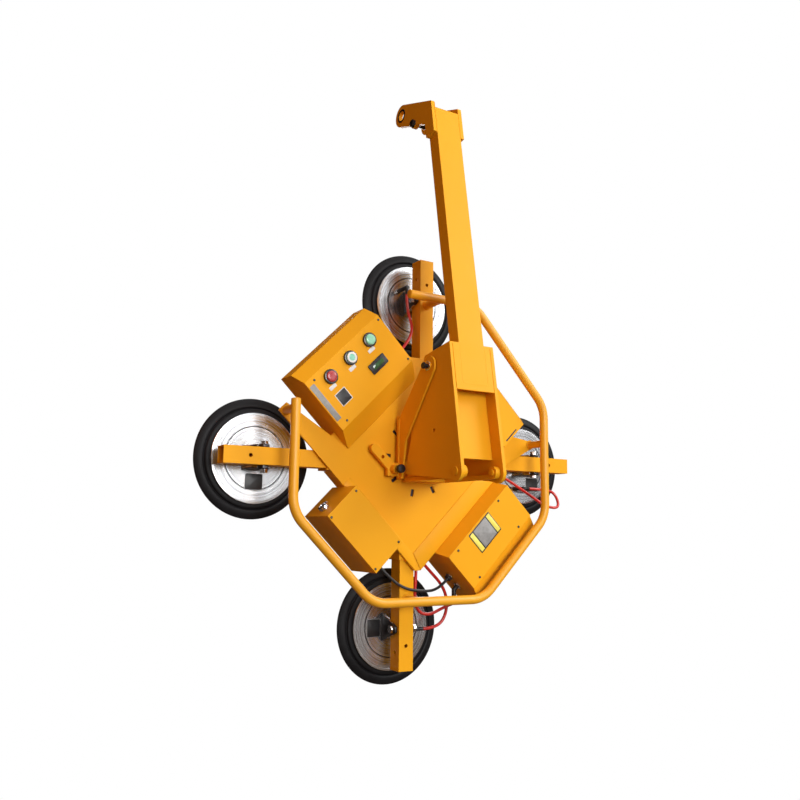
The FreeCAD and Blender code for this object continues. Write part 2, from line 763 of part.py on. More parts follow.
def face_plate():
    """Square plate on its corner, with lugs out to the rail and a ring of index slots."""
    body = new_body("face_plate")
    on_diamond(body)
    edge = "dim.frame_half"
    cut = "dim.frame_half - dim.frame_corner_cut"
    sketch = sketch_on(body, "XZ_Plane", "place.plate_back_out")
    corners = [
        ("0 - " + edge, "dim.frame_low_cut - " + edge),
        ("dim.frame_low_cut - " + edge, "0 - " + edge),
        (edge, "0 - " + edge),
        ("place.post_right_along", "place.post_right_up - dim.lug_margin"),
        ("place.post_right_along + dim.lug_margin", "place.post_right_up"),
        ("place.post_right_along + dim.lug_margin - dim.frame_corner_cut", "dim.frame_corner_cut - " + edge),
        (edge, "dim.frame_corner_cut - " + edge),
        (edge, cut),
        (cut, edge),
        ("dim.lug_left_width - " + edge, edge),
        ("place.post_left_along + 1.3 * dim.lug_margin", "place.post_left_up + dim.lug_margin"),
        ("place.post_left_along - dim.lug_margin", "place.post_left_up + dim.lug_margin"),
        ("0 - " + edge, edge),
    ]
    outline(sketch, corners)
    pad(body, sketch, "dim.plate_thick")
    sketch = sketch_on(body, "XZ_Plane", "place.plate_back_out")
    circle(sketch, "0", "0", "dim.spindle_radius + dim.running_gap")
    pocket(body, sketch)
    slot = sketch_on(body, "XZ_Plane", "place.plate_back_out")
    turned = " - dim.frame_turn"
    angle = "(dim.slot_angle" + turned + ") * 1 deg"
    slot_corners = []
    for along, side in ((-1, -1), (1, -1), (1, 1), (-1, 1)):
        reach = "(dim.slot_ring + %d * dim.index_slot_length / 2)" % along
        offset = "(%d * dim.index_slot_width / 2)" % side
        across = reach + " * cos(" + angle + ") - " + offset + " * sin(" + angle + ")"
        rise = reach + " * sin(" + angle + ") + " + offset + " * cos(" + angle + ")"
        slot_corners.append((across, rise))
    outline(slot, slot_corners)
    cut_slot = pocket(body, slot)
    ring = body.newObject("PartDesign::PolarPattern", "face_plate_slots")
    ring.Originals = [cut_slot]
    ring.Axis = (slot, ["N_Axis"])
    ring.Angle = 360
    ring.setExpression("Occurrences", "dim.index_slot_count")
    body.Tip = ring
    sketch = sketch_on(body, "XZ_Plane", "place.plate_back_out")
    for half_turn in (0, 180):
        angle = "(dim.index_angle + %d" % half_turn + turned + ") * 1 deg"
        circle(sketch, "dim.index_radius * cos(" + angle + ")", "dim.index_radius * sin(" + angle + ")",
               "dim.index_pin_radius + dim.bezel_gap")
    pocket(body, sketch)


ARMS = {
    "top": (TOWARDS, 0, "dim.shift_top", "dim.cup_reach_tall", "dim.arm_past_top"),
    "bottom": (TOWARDS, 180, "dim.shift_bottom", "dim.cup_reach_tall", "dim.arm_past_bottom"),
    "right": (TOWARDS, 90, "dim.shift_right", "dim.cup_reach_wide", "dim.arm_past_right"),
    "left": (-TOWARDS, 90, "dim.shift_left", "dim.cup_reach_wide", "dim.arm_past_left"),
}


def frame_skirt():
    """Four edge walls behind the face plate, open at the corners for the arms and the side hose."""
    body = new_body("frame_skirt")
    on_diamond(body)
    body.AllowCompound = True
    edge = "dim.frame_half"
    inner = "dim.frame_half - dim.skirt_thick"
    run = "dim.frame_half - dim.frame_corner_cut"
    sketch = sketch_on(body, "XZ_Plane", "place.plate_back_out - dim.skirt_depth")
    rectangle(sketch, "0 - " + edge, "dim.skirt_thick - " + edge, "dim.frame_corner_cut - " + edge, run)
    rectangle(sketch, inner, edge, "dim.frame_corner_cut - " + edge, run)
    rectangle(sketch, "dim.frame_corner_cut - " + edge, run, "0 - " + edge, "dim.skirt_thick - " + edge)
    rectangle(sketch, "dim.frame_corner_cut - " + edge, run, inner, edge)
    pad(body, sketch, "dim.skirt_depth")
    sketch = sketch_on(body, "XZ_Plane", "place.plate_back_out - dim.skirt_depth")
    half = "(place.receiver_half + dim.skirt_passage_gap)"
    for name in ARMS:
        axis, angle, shift, reach, past = ARMS[name]
        quarter = {"top": 0, "right": 1, "bottom": 2, "left": 3}[name]
        turn = "(dim.frame_turn + %d) * 1 deg" % (90 * quarter)
        corners = []
        for side, along in (("-", "dim.receiver_start"), ("+", "dim.receiver_start"),
                            ("+", "2 * dim.frame_half"), ("-", "2 * dim.frame_half")):
            across = "(" + shift + " " + side + " " + half + ")"
            one = across + " * cos(" + turn + ") + (" + along + ") * sin(" + turn + ")"
            two = "(" + along + ") * cos(" + turn + ") - " + across + " * sin(" + turn + ")"
            corners.append((one, two))
        outline(sketch, corners)
    pocket(body, sketch)
    sketch = sketch_on(body, "XZ_Plane", "place.plate_back_out - dim.skirt_depth")
    turn = "dim.frame_turn * 1 deg"
    room = "(dim.hose_radius + dim.skirt_passage_gap)"
    corners = []
    for across, rise in (("dim.side_block_across", "-"), ("2 * dim.frame_half", "-"),
                         ("2 * dim.frame_half", "+"), ("dim.side_block_across", "+")):
        height = "(" + room + " - dim.side_block_drop)"
        if rise == "-":
            height = "(0 - " + room + " - dim.side_block_drop)"
        one = across + " * cos(" + turn + ") + " + height + " * sin(" + turn + ")"
        two = height + " * cos(" + turn + ") - " + across + " * sin(" + turn + ")"
        corners.append((one, two))
    outline(sketch, corners)
    pocket(body, sketch)


def arm_receivers():
    """Four sleeves behind the face plate that hold the arms."""
    sleeves = []
    for name in ARMS:
        axis, angle, shift, reach, past = ARMS[name]
        sleeve = doc.addObject("PartDesign::Body", "receiver_" + name)
        on_hub(sleeve, axis, angle)
        sketch = sketch_on(sleeve, "XY_Plane", "dim.receiver_start")
        for half in ("place.receiver_half", "(dim.arm_size / 2 + dim.arm_slip)"):
            rectangle(sketch, shift + " - " + half, shift + " + " + half,
                      "0 - place.arm_centre_out - " + half, half + " - place.arm_centre_out")
        pad(sleeve, sketch, "dim.receiver_end - dim.receiver_start")
        sketch = sketch_on(sleeve, "YZ_Plane")
        circle(sketch, "0 - place.arm_centre_out", "dim.arm_bolt_place", "dim.arm_bolt_radius")
        pocket(sleeve, sketch)
        sleeves.append(sleeve)
    grouped("arm_receivers", sleeves)


def arm(name):
    axis, angle, shift, reach, past = ARMS[name]
    body = new_body("arm_" + name)
    on_hub(body, axis, angle)
    sketch = sketch_on(body, "XY_Plane", "dim.arm_start")
    for half in ("dim.arm_size / 2", "(dim.arm_size / 2 - dim.arm_wall)"):
        rectangle(sketch, shift + " - " + half, shift + " + " + half,
                  "0 - place.arm_centre_out - " + half, half + " - place.arm_centre_out")
    pad(body, sketch, reach + " + " + past + " - dim.arm_start")
    sketch = sketch_on(body, "YZ_Plane")
    circle(sketch, "0 - place.arm_centre_out", reach, "dim.cup_bolt_radius")
    circle(sketch, "0 - place.arm_centre_out", "dim.arm_bolt_place", "dim.arm_bolt_radius")
    circle(sketch, "0 - place.arm_centre_out", reach + " + dim.arm_spare_hole", "dim.arm_spare_hole_radius")
    pocket(body, sketch)
    sketch = sketch_on(body, "XZ_Plane", "place.arm_centre_out")
    circle(sketch, shift, reach + " + dim.arm_spare_hole * 0.7", "dim.arm_spare_hole_radius")
    pocket(body, sketch)


def bolt_across(label, axis, angle, shift, along, radius, half):
    """Bolt with a hex head and nut, lying across an arm."""
    bolt = doc.addObject("PartDesign::Body", label)
    on_hub(bolt, axis, angle)
    sketch = sketch_on(bolt, "YZ_Plane", shift + " - (" + half + ")")
    circle(sketch, "0 - place.arm_centre_out", along, radius)
    pad(bolt, sketch, "2 * (" + half + ")")
    ends = (
        (shift + " + " + half, "dim.bolt_head_length"),
        (shift + " - (" + half + ") - dim.bolt_nut_length", "dim.bolt_nut_length"),
    )
    for lift, length in ends:
        sketch = sketch_on(bolt, "YZ_Plane", lift)
        corners = []
        for step in range(6):
            across = "0 - place.arm_centre_out + dim.bolt_head_flat / cos(30 deg) * cos(%d deg)" % (60 * step)
            rise = along + " + dim.bolt_head_flat / cos(30 deg) * sin(%d deg)" % (60 * step)
            corners.append((across, rise))
        outline(sketch, corners)
        pad(bolt, sketch, length)
    return bolt


def arm_bolts():
    """Hinge bolts of the cups and the bolts that hold the arms in their sleeves."""
    lugs = "dim.arm_size / 2 + dim.cup_lug_gap + dim.cup_lug_thick + dim.cup_bolt_float"
    bolts = []
    for name in ARMS:
        axis, angle, shift, reach, past = ARMS[name]
        bolts.append(bolt_across("cup_bolt_" + name, axis, angle, shift, reach, "dim.cup_bolt_radius", lugs))
        bolts.append(bolt_across("arm_bolt_" + name, axis, angle, shift, "dim.arm_bolt_place",
                                 "dim.arm_bolt_radius", "place.receiver_half"))
    grouped("arm_bolts", bolts)


def on_cup(body, name):
    """Stands at the middle of a cup, in the plane of its lip."""
    axis, angle, shift, reach, past = ARMS[name]
    spots = {
        "top": (shift, reach),
        "bottom": ("0 - " + shift, "0 - " + reach),
        "right": (reach, "0 - " + shift),
        "left": ("0 - " + reach, shift),
    }
    on_hub(body, axis, angle)
    body.setExpression("Placement.Base.x", spots[name][0])
    body.setExpression("Placement.Base.z", spots[name][1] + " - dim.hub_drop")


PORTS = {
    "top": ("0 - dim.port_top_side", "dim.port_top_along", "XY_Plane", -1),
    "bottom": ("0 - dim.port_bottom_side", "dim.port_bottom_along", "YZ_Plane", -1),
    "right": ("dim.port_right_side", "0 - dim.port_right_back", "XY_Plane", 1),
}


def hose_port(body, name):
    """Elbow on a cup plate: a post off the plate and a nipple that the hose is pushed on."""
    across, along, plane, sense = PORTS[name]
    sketch = sketch_on(body, "XZ_Plane", "place.disc_front_out")
    circle(sketch, across, along, "dim.port_radius")
    pad(body, sketch, "dim.port_rise + dim.port_nipple_radius")
    start = along if plane == "XY_Plane" else across
    if sense < 0:
        start = start + " - dim.port_nipple_length"
    sketch = sketch_on(body, plane, start)
    if plane == "XY_Plane":
        circle(sketch, across, "0 - place.port_out", "dim.port_nipple_radius")
    else:
        circle(sketch, "0 - place.port_out", along, "dim.port_nipple_radius")
    pad(body, sketch, "dim.port_nipple_length")


def cup_plate(name):
    """Round metal plate of a cup with the two lugs that straddle the arm."""
    body = new_body("cup_plate_" + name)
    on_cup(body, name)
    sketch = sketch_on(body, "XZ_Plane", "dim.cup_disc_out")
    circle(sketch, "0", "0", "dim.cup_disc_radius")
    pad(body, sketch, "dim.cup_disc_thick")
    inner = "dim.arm_size / 2 + dim.cup_lug_gap"
    foot = "0 - place.disc_front_out"
    tip = "0 - place.arm_centre_out"
    for lift in (inner, "0 - (" + inner + ") - dim.cup_lug_thick"):
        sketch = sketch_on(body, "YZ_Plane", lift)
        corners = [
            (foot, "0 - dim.cup_lug_half"),
            (foot, "dim.cup_lug_half"),
            (tip, "dim.cup_lug_tip"),
            (tip + " - dim.cup_lug_tip", "dim.cup_lug_tip / 2"),
            (tip + " - dim.cup_lug_tip", "0 - dim.cup_lug_tip / 2"),
            (tip, "0 - dim.cup_lug_tip"),
        ]
        outline(sketch, corners)
        pad(body, sketch, "dim.cup_lug_thick")
    sketch = sketch_on(body, "YZ_Plane")
    circle(sketch, tip, "0", "dim.cup_bolt_radius + dim.running_gap")
    pocket(body, sketch)
    if name in PORTS:
        hose_port(body, name)


def cup_seal(name):
    """Turned rubber bell with two ridges and a flat lip against the glass."""
    body = new_body("cup_seal_" + name)
    on_cup(body, name)
    sketch = sketch_on(body, "XY_Plane")
    bore = "dim.cup_seal_bore"
    disc = "dim.cup_disc_radius"
    lip = "dim.cup_lip_radius"
    top = "0 - dim.cup_disc_out"
    under = "dim.cup_seal_thick - dim.cup_disc_out"
    corners = [
        (bore, top),
        (disc + " + dim.seal_rim", top),
        (disc + " + dim.seal_rim + dim.seal_step_run", top + " + dim.seal_shoulder"),
        (disc + " + dim.seal_rim + 1.3 * dim.seal_step_run", top + " + dim.seal_shoulder + dim.seal_step_drop"),
        (disc + " + dim.seal_rim + 2 * dim.seal_step_run", top + " + dim.seal_shoulder + 1.2 * dim.seal_step_drop"),
        (disc + " + dim.seal_rim + 2.3 * dim.seal_step_run", top + " + dim.seal_shoulder + 2.2 * dim.seal_step_drop"),
        (disc + " + dim.seal_rim + 3 * dim.seal_step_run", top + " + dim.seal_shoulder + 2.4 * dim.seal_step_drop"),
        (lip, "0 - dim.cup_lip_thick"),
        (lip, "0"),
        (lip + " - dim.cup_lip_width", "0"),
        (disc + " + dim.cup_seal_thick", "0 - dim.cup_lip_rise"),
        (disc, under + " + dim.cup_lip_thick"),
        (disc + " - dim.cup_seal_thick", under),
        (bore, under),
    ]
    outline(sketch, corners)
    revolve(body, sketch, "V_Axis")


def box_profile(body, corners, half_length):
    """Folded housing of constant profile along the frame edge, closed at both ends."""
    sketch = sketch_on(body, "YZ_Plane")
    outline(sketch, corners)
    pad(body, sketch, "2 * " + half_length, True)


def console_shell():
    """Control housing on the upper left edge: bevelled outer edge, sloped foot on the face plate, panel holes."""
    body = new_body("console_shell")
    on_diamond(body)
    front = "0 - dim.console_out"
    back = "0 - dim.console_back"
    corners = [
        (back, "place.console_outer"),
        (front + " + dim.console_bevel_depth", "place.console_outer"),
        (front, "place.console_outer - dim.console_bevel_height"),
        (front, "dim.frame_half"),
        ("0 - dim.plate_out", "dim.frame_half - dim.console_slope_run"),
        ("0 - dim.plate_out", "dim.frame_half"),
        (back, "dim.frame_half"),
    ]
    box_profile(body, corners, "dim.console_half_length")
    sketch = sketch_on(body, "YZ_Plane")
    hollow = [
        (back + " - dim.box_wall", "place.console_outer - dim.box_wall"),
        (front + " + dim.console_bevel_depth + dim.box_wall", "place.console_outer - dim.box_wall"),
        (front + " + dim.box_wall", "place.console_outer - dim.console_bevel_height - dim.box_wall"),
        (front + " + dim.box_wall", "dim.frame_half + 0.6 * dim.box_wall"),
        ("0 - dim.plate_out - dim.box_wall", "dim.frame_half - dim.console_slope_run + 4 * dim.box_wall"),
        ("0 - dim.plate_out - dim.box_wall", "dim.frame_half + dim.box_wall"),
        (back + " - dim.box_wall", "dim.frame_half + dim.box_wall"),
    ]
    outline(sketch, hollow)
    pocket(body, sketch, "2 * (dim.console_half_length - dim.box_wall)")
    sketch = sketch_on(body, "XZ_Plane", "dim.console_out")
    for step in (-1, 0, 1):
        circle(sketch, "%d * dim.button_pitch" % step, "place.button_row", "dim.button_stem_radius + dim.running_gap")
    width = "dim.display_length / 2 - dim.display_rim"
    height = "dim.display_height / 2 - dim.display_rim"
    rectangle(sketch, "dim.display_along - (" + width + ")", "dim.display_along + " + width,
              "place.display_row - (" + height + ")", "place.display_row + " + height)
    pocket(body, sketch, "4 * dim.box_wall")


def display():
    body = new_body("display")
    on_diamond(body)
    sketch = sketch_on(body, "XZ_Plane", "dim.console_out")
    rectangle(sketch, "dim.display_along - dim.display_length / 2", "dim.display_along + dim.display_length / 2",
              "place.display_row - dim.display_height / 2", "place.display_row + dim.display_height / 2")
    pad(body, sketch, "dim.display_proud")


def button_bezels():
    rings = []
    for step in (-1, 0, 1):
        ring = doc.addObject("PartDesign::Body", "bezel_%d" % (step + 1))
        on_diamond(ring)
        sketch = sketch_on(ring, "XZ_Plane", "dim.console_out")
        along = "%d * dim.button_pitch" % step
        circle(sketch, along, "place.button_row", "dim.bezel_radius")
        circle(sketch, along, "place.button_row", "dim.button_radius + dim.bezel_gap")
        pad(ring, sketch, "dim.bezel_height")
        rings.append(ring)
    grouped("button_bezels", rings)


def button(label, step):
    body = new_body(label)
    on_diamond(body)
    along = "%d * dim.button_pitch" % step
    under = "dim.console_out + dim.button_travel"
    sketch = sketch_on(body, "XZ_Plane", under)
    circle(sketch, along, "place.button_row", "dim.button_radius")
    pad(body, sketch, "dim.button_cap_height")
    sketch = sketch_on(body, "XZ_Plane", under + " - dim.button_stem_length")
    circle(sketch, along, "place.button_row", "dim.button_stem_radius")
    pad(body, sketch, "dim.button_stem_length")


def control_board():
    """Circuit board of the controller, flat on the back wall of the console."""
    body = new_body("control_board")
    on_diamond(body)
    middle = "(dim.frame_half + place.console_outer) / 2"
    sketch = sketch_on(body, "XZ_Plane", "dim.console_back + dim.box_wall")
    rectangle(sketch, "0 - dim.board_length / 2", "dim.board_length / 2",
              middle + " - dim.board_height / 2", middle + " + dim.board_height / 2")
    pad(body, sketch, "dim.board_thick")
    sketch = sketch_on(body, "XZ_Plane", "dim.console_back + dim.box_wall + dim.board_thick")
    rectangle(sketch, "0 - dim.board_length / 3", "0 - dim.board_length / 8", middle + " - 20", middle + " + 25")
    rectangle(sketch, "dim.board_length / 10", "dim.board_length / 4", middle + " - 30", middle + " + 10")
    pad(body, sketch, "3 * dim.board_thick")


def battery_box():
    """Battery housing on the lower left edge, open towards its lid."""
    body = new_body("battery_box")
    on_diamond(body)
    near = "0 - dim.frame_half"
    far = "0 - dim.frame_half - dim.battery_box_width"
    half = "dim.battery_box_half_length"
    sketch = sketch_on(body, "XZ_Plane", "dim.deep_box_back")
    rectangle(sketch, far, near, "0 - " + half, half)
    pad(body, sketch, "dim.battery_box_out - dim.deep_box_back")
    sketch = sketch_on(body, "XZ_Plane", "dim.battery_box_out")
    rectangle(sketch, far + " + dim.box_wall", near + " - dim.box_wall",
              "dim.box_wall - " + half, half + " - dim.box_wall")
    pocket(body, sketch, "2 * (dim.battery_box_out - dim.deep_box_back - dim.box_wall)")


def battery_box_lid():
    body = new_body("battery_box_lid")
    on_diamond(body)
    near = "0 - dim.frame_half"
    far = "0 - dim.frame_half - dim.battery_box_width"
    half = "dim.battery_box_half_length"
    sketch = sketch_on(body, "XZ_Plane", "dim.battery_box_out")
    rectangle(sketch, far, near, "0 - " + half, half)
    pad(body, sketch, "dim.panel_thick")


def battery():
    body = new_body("battery")
    on_diamond(body)
    middle = "0 - dim.frame_half - dim.battery_box_width / 2"
    half = "dim.battery_half_length"
    sketch = sketch_on(body, "XZ_Plane", "dim.deep_box_back + dim.box_wall")
    rectangle(sketch, middle + " - dim.battery_width / 2", middle + " + dim.battery_width / 2", "0 - " + half, half)
    pad(body, sketch, "dim.battery_depth")


def charging_socket():
    """Round charging inlet on the upper end of the battery box."""
    body = new_body("charging_socket")
    on_diamond(body)
    across = "0 - dim.frame_half - dim.socket_along"
    depth = "0 - dim.socket_out"
    sketch = sketch_on(body, "XY_Plane", "dim.battery_box_half_length")
    circle(sketch, across, depth, "dim.socket_radius")
    pad(body, sketch, "dim.socket_length")
    sketch = sketch_on(body, "XY_Plane", "dim.battery_box_half_length + dim.socket_length")
    circle(sketch, across, depth, "dim.socket_radius * 0.7")
    pocket(body, sketch, "dim.socket_length * 1.4")


def pump_box():
    """Pump housing on the lower right edge, its inner and outer front edges sloped."""
    body = new_body("pump_box")
    on_diamond(body)
    front = "0 - dim.pump_box_out"
    back = "0 - dim.deep_box_back"
    near = "0 - dim.frame_half"
    far = "0 - dim.frame_half - dim.pump_box_width"
    corners = [
        (back, near),
        ("0 - dim.plate_out", near),
        (front, near + " - dim.pump_box_bevel"),
        (front, far + " + dim.pump_box_round"),
        (front + " + dim.pump_box_round_depth", far),
        (back, far),
    ]
    box_profile(body, corners, "dim.pump_box_half_length")
    sketch = sketch_on(body, "YZ_Plane")
    hollow = [
        (back + " - dim.box_wall", near + " - dim.box_wall"),
        ("0 - dim.plate_out", near + " - dim.box_wall"),
        (front + " - 1", near + " - dim.pump_box_bevel - 2 * dim.box_wall"),
        (front + " - 1", far + " + dim.pump_box_round + 2 * dim.box_wall"),
        (front + " + dim.pump_box_round_depth + dim.box_wall", far + " + dim.box_wall"),
        (back + " - dim.box_wall", far + " + dim.box_wall"),
    ]
    outline(sketch, hollow)
    pocket(body, sketch, "2 * (dim.pump_box_half_length - dim.box_wall)")


def pump_box_lid():
    body = new_body("pump_box_lid")
    on_diamond(body)
    near = "0 - dim.frame_half - dim.pump_box_bevel"
    far = "0 - dim.frame_half - dim.pump_box_width + dim.pump_box_round"
    half = "dim.pump_box_half_length"
    sketch = sketch_on(body, "XZ_Plane", "dim.pump_box_out")
    rectangle(sketch, "0 - " + half, half, far, near)
    pad(body, sketch, "dim.panel_thick")


def vacuum_pump():
    """Motor and pump head on the back wall of the pump box."""
    body = new_body("vacuum_pump")
    on_diamond(body)
    middle = "0 - dim.frame_half - dim.pump_box_width / 2"
    floor = "dim.deep_box_back + dim.box_wall"
    sketch = sketch_on(body, "XZ_Plane", floor)
    rectangle(sketch, "0 - dim.pump_head_length", "0", middle + " - dim.pump_head_width / 2",
              middle + " + dim.pump_head_width / 2")
    pad(body, sketch, "2 * dim.pump_motor_radius")
    sketch = sketch_on(body, "YZ_Plane")
    circle(sketch, "0 - (" + floor + ") - dim.pump_motor_radius", middle, "dim.pump_motor_radius")
    pad(body, sketch, "dim.pump_motor_length")


def valve_box():
    """Reservoir housing on the upper right edge, with a bevel along its outer front edge."""
    body = new_body("valve_box")
    on_diamond(body)
    near = "dim.frame_half"
    far = "dim.frame_half + dim.valve_box_width"
    front = "0 - dim.valve_box_out"
    back = "0 - dim.box_back"
    half = "place.valve_box_half"
    sketch = sketch_on(body, "XY_Plane", "place.valve_box_middle")
    corners = [
        (near, back),
        (near, front),
        (far + " - dim.valve_box_bevel", front),
        (far, front + " + dim.valve_box_bevel"),
        (far, back),
    ]
    outline(sketch, corners)
    pad(body, sketch, "2 * " + half, True)
    sketch = sketch_on(body, "XY_Plane", "place.valve_box_middle")
    hollow = [
        (near + " + dim.box_wall", back + " - dim.box_wall"),
        (near + " + dim.box_wall", front + " - 1"),
        (far + " - dim.valve_box_bevel - 2 * dim.box_wall", front + " - 1"),
        (far + " - dim.box_wall", front + " + dim.valve_box_bevel + dim.box_wall"),
        (far + " - dim.box_wall", back + " - dim.box_wall"),
    ]
    outline(sketch, hollow)
    pocket(body, sketch, "2 * (" + half + " - dim.box_wall)")


def valve_box_lid():
    body = new_body("valve_box_lid")
    on_diamond(body)
    near = "dim.frame_half"
    far = "dim.frame_half + dim.valve_box_width - dim.valve_box_bevel"
    sketch = sketch_on(body, "XZ_Plane", "dim.valve_box_out")
    rectangle(sketch, near, far, "0 - dim.valve_box_down", "dim.valve_box_up")
    pad(body, sketch, "dim.panel_thick")


def vacuum_reservoir():
    """Reservoir tank on two feet on the back wall of its box."""
    body = new_body("vacuum_reservoir")
    on_diamond(body)
    middle = "dim.frame_half + dim.valve_box_width / 2"
    depth = "0 - dim.box_back - dim.box_wall - dim.reservoir_radius - 2"
    sketch = sketch_on(body, "XY_Plane", "place.valve_box_middle")
    circle(sketch, middle, depth, "dim.reservoir_radius")
    pad(body, sketch, "2 * dim.reservoir_half_length", True)
    for side in (-1, 1):
        sketch = sketch_on(body, "XY_Plane", "place.valve_box_middle + %d * dim.reservoir_half_length * 0.6" % side)
        rectangle(sketch, middle + " - 20", middle + " + 20", depth, "0 - dim.box_back - dim.box_wall")
        pad(body, sketch, "20", True)


def route_wire(points, bend):
    """Straight runs joined by tangent arcs; bend gives an arc radius, or None for a cord."""
    corners = [FreeCAD.Vector(*point) for point in points]
    edges = []
    radii = []
    start = corners[0]
    for number in range(1, len(corners) - 1):
        corner = corners[number]
        before = corners[number - 1] - corner
        after = corners[number + 1] - corner
        turn = math.pi - before.getAngle(after)
        half_tan = math.tan(turn / 2)
        if bend is None:
            radius = 0.45 * min(before.Length, after.Length) / half_tan
        else:
            radius = bend
        cut = radius * half_tan
        towards_before = FreeCAD.Vector(before).normalize()
        towards_after = FreeCAD.Vector(after).normalize()
        enter = corner + towards_before * cut
        leave = corner + towards_after * cut
        bisector = (towards_before + towards_after).normalize()
        centre = corner + bisector * (radius / math.cos(turn / 2))
        middle = centre - bisector * radius
        edges.append(Part.makeLine(start, enter))
        edges.append(Part.Arc(enter, middle, leave).toShape())
        radii.append(radius)
        start = leave
    edges.append(Part.makeLine(start, corners[-1]))
    return Part.Wire(edges), radii


def swept(wire, radius):
    """Round bar along a wire of lines and arcs, as cylinders and pieces of torus."""
    pieces = []
    for edge in wire.Edges:
        start = edge.valueAt(edge.FirstParameter)
        direction = edge.tangentAt(edge.FirstParameter)
        disc = Part.Face(Part.Wire([Part.makeCircle(radius, start, direction)]))
        if isinstance(edge.Curve, Part.Circle):
            turn = math.degrees(edge.LastParameter - edge.FirstParameter)
            pieces.append(disc.revolve(edge.Curve.Center, edge.Curve.Axis, turn))
        else:
            pieces.append(disc.extrude(direction * edge.Length))
    bar = pieces[0].multiFuse(pieces[1:])
    return bar.removeSplitter().Solids[0]


def cord(label, points, radius):
    """Hose or cable along its route; prints its length and bend radii."""
    wire, radii = route_wire(points, None)
    shape = swept(wire, radius)
    feature = coded(label, shape)
    expected = math.pi * radius * radius * wire.Length
    rounded = [round(value) for value in radii]
    print(label, "length", round(wire.Length), "volume ratio", round(shape.Volume / expected, 3), "radii", rounded)
    return feature


def diamond(along, up, out):
    """Hub coordinates of a place on the turned frame."""
    turn = math.radians(size("frame_turn"))
    across = along * math.cos(turn) - up * math.sin(turn)
    rise = along * math.sin(turn) + up * math.cos(turn)
    return (across, -out, rise)


def handrail():
    """Bent rail round the frame, open at the console."""
    half = size("rail_half_width")
    top = size("rail_top")
    low = -size("rail_bottom")
    depth = -size("rail_out")
    upper = size("rail_upper_sum")
    lower = size("rail_lower_sum")
    points = [
        (-size("rail_top_end"), depth, top),
        (upper - top, depth, top),
        (half, depth, upper - half - size("rail_upper_drop")),
        (half, depth, half - lower),
        (lower + low, depth, low),
        (-lower - low, depth, low),
        (-half, depth, half - lower),
        (-half, depth, size("rail_left_end")),
    ]
    wire, radii = route_wire(points, size("rail_bend"))
    outer = swept(wire, size("rail_radius"))
    inner = swept(wire, size("rail_radius") - size("rail_wall"))
    coded("handrail", outer.cut(inner))


def rail_posts():
    """Four posts from the rail back to the face plate lugs and the upright arms."""
    radius = size("post_radius")
    front = -size("rail_out")
    half = size("rail_half_width")
    plate = -size("plate_out")
    arm_front = -spot("arm_front_out")
    spots = [
        (-half, size("post_left_rise"), plate),
        (half, size("post_right_rise"), plate),
        (size("shift_top"), size("rail_top"), arm_front),
        (-size("shift_bottom"), -size("rail_bottom"), arm_front),
    ]
    core = []
    for across, rise, back in spots:
        post = Part.makeCylinder(radius, back - front, FreeCAD.Vector(across, front, rise), TOWARDS)
        along = UP if abs(across) == half else ACROSS
        middle = FreeCAD.Vector(across, front, rise) - along * 3 * radius
        post = post.cut(Part.makeCylinder(size("rail_radius"), 6 * radius, middle, along))
        core.append(post)
    coded("rail_posts", Part.makeCompound(core))


def gland_rows():
    """Rows of the glands on the turned frame: console, pump and battery."""
    edge = size("frame_half")
    return (
        edge + size("console_gland_inset"),
        -edge - size("pump_cable_inset"),
        -edge - size("battery_gland_inset"),
    )


def manifold_outlets():
    """Places of the two hose outlets of the lower manifold."""
    out = size("outlet_out")
    half = 0.5 * size("manifold_width")
    row = size("manifold_inset") - size("frame_half")
    slanted = diamond(-size("manifold_along"), row - half, out)
    across, depth, rise = diamond(-size("manifold_along") - half, row, out)
    return slanted, (across - size("outlet_shift"), depth, rise - 0.5 * size("outlet_length"))


def feed_elbow():
    """Corner of the feed elbow on the pump box, and the direction of its nipple."""
    row = -size("frame_half") - size("feed_inset")
    corner = diamond(-size("pump_box_half_length") - size("feed_reach"), row, size("pump_gland_out"))
    slope = math.radians(size("feed_slope"))
    low = FreeCAD.Vector(corner[0], corner[1], corner[2] - size("feed_drop"))
    return FreeCAD.Vector(*corner), low, FreeCAD.Vector(-math.cos(slope), 0, -math.sin(slope))


def port_ends():
    """Ends of the hoses at the ports of the top, bottom and right cups."""
    depth = -spot("port_out")
    reach = size("port_nipple_length") + size("port_gap")
    tall = size("cup_reach_tall")
    top = (
        size("shift_top") - size("port_top_side"),
        depth,
        tall + size("port_top_along") - reach,
    )
    bottom = (
        size("port_bottom_side") - size("shift_bottom") + reach,
        depth,
        -tall - size("port_bottom_along"),
    )
    right = (
        size("cup_reach_wide") - size("port_right_back") + reach,
        depth,
        -size("shift_right") - size("port_right_side"),
    )
    return top, bottom, right


def beside(point, across, towards, up):
    """A place given by its distances from another place."""
    return (point[0] + across, point[1] + towards, point[2] + up)


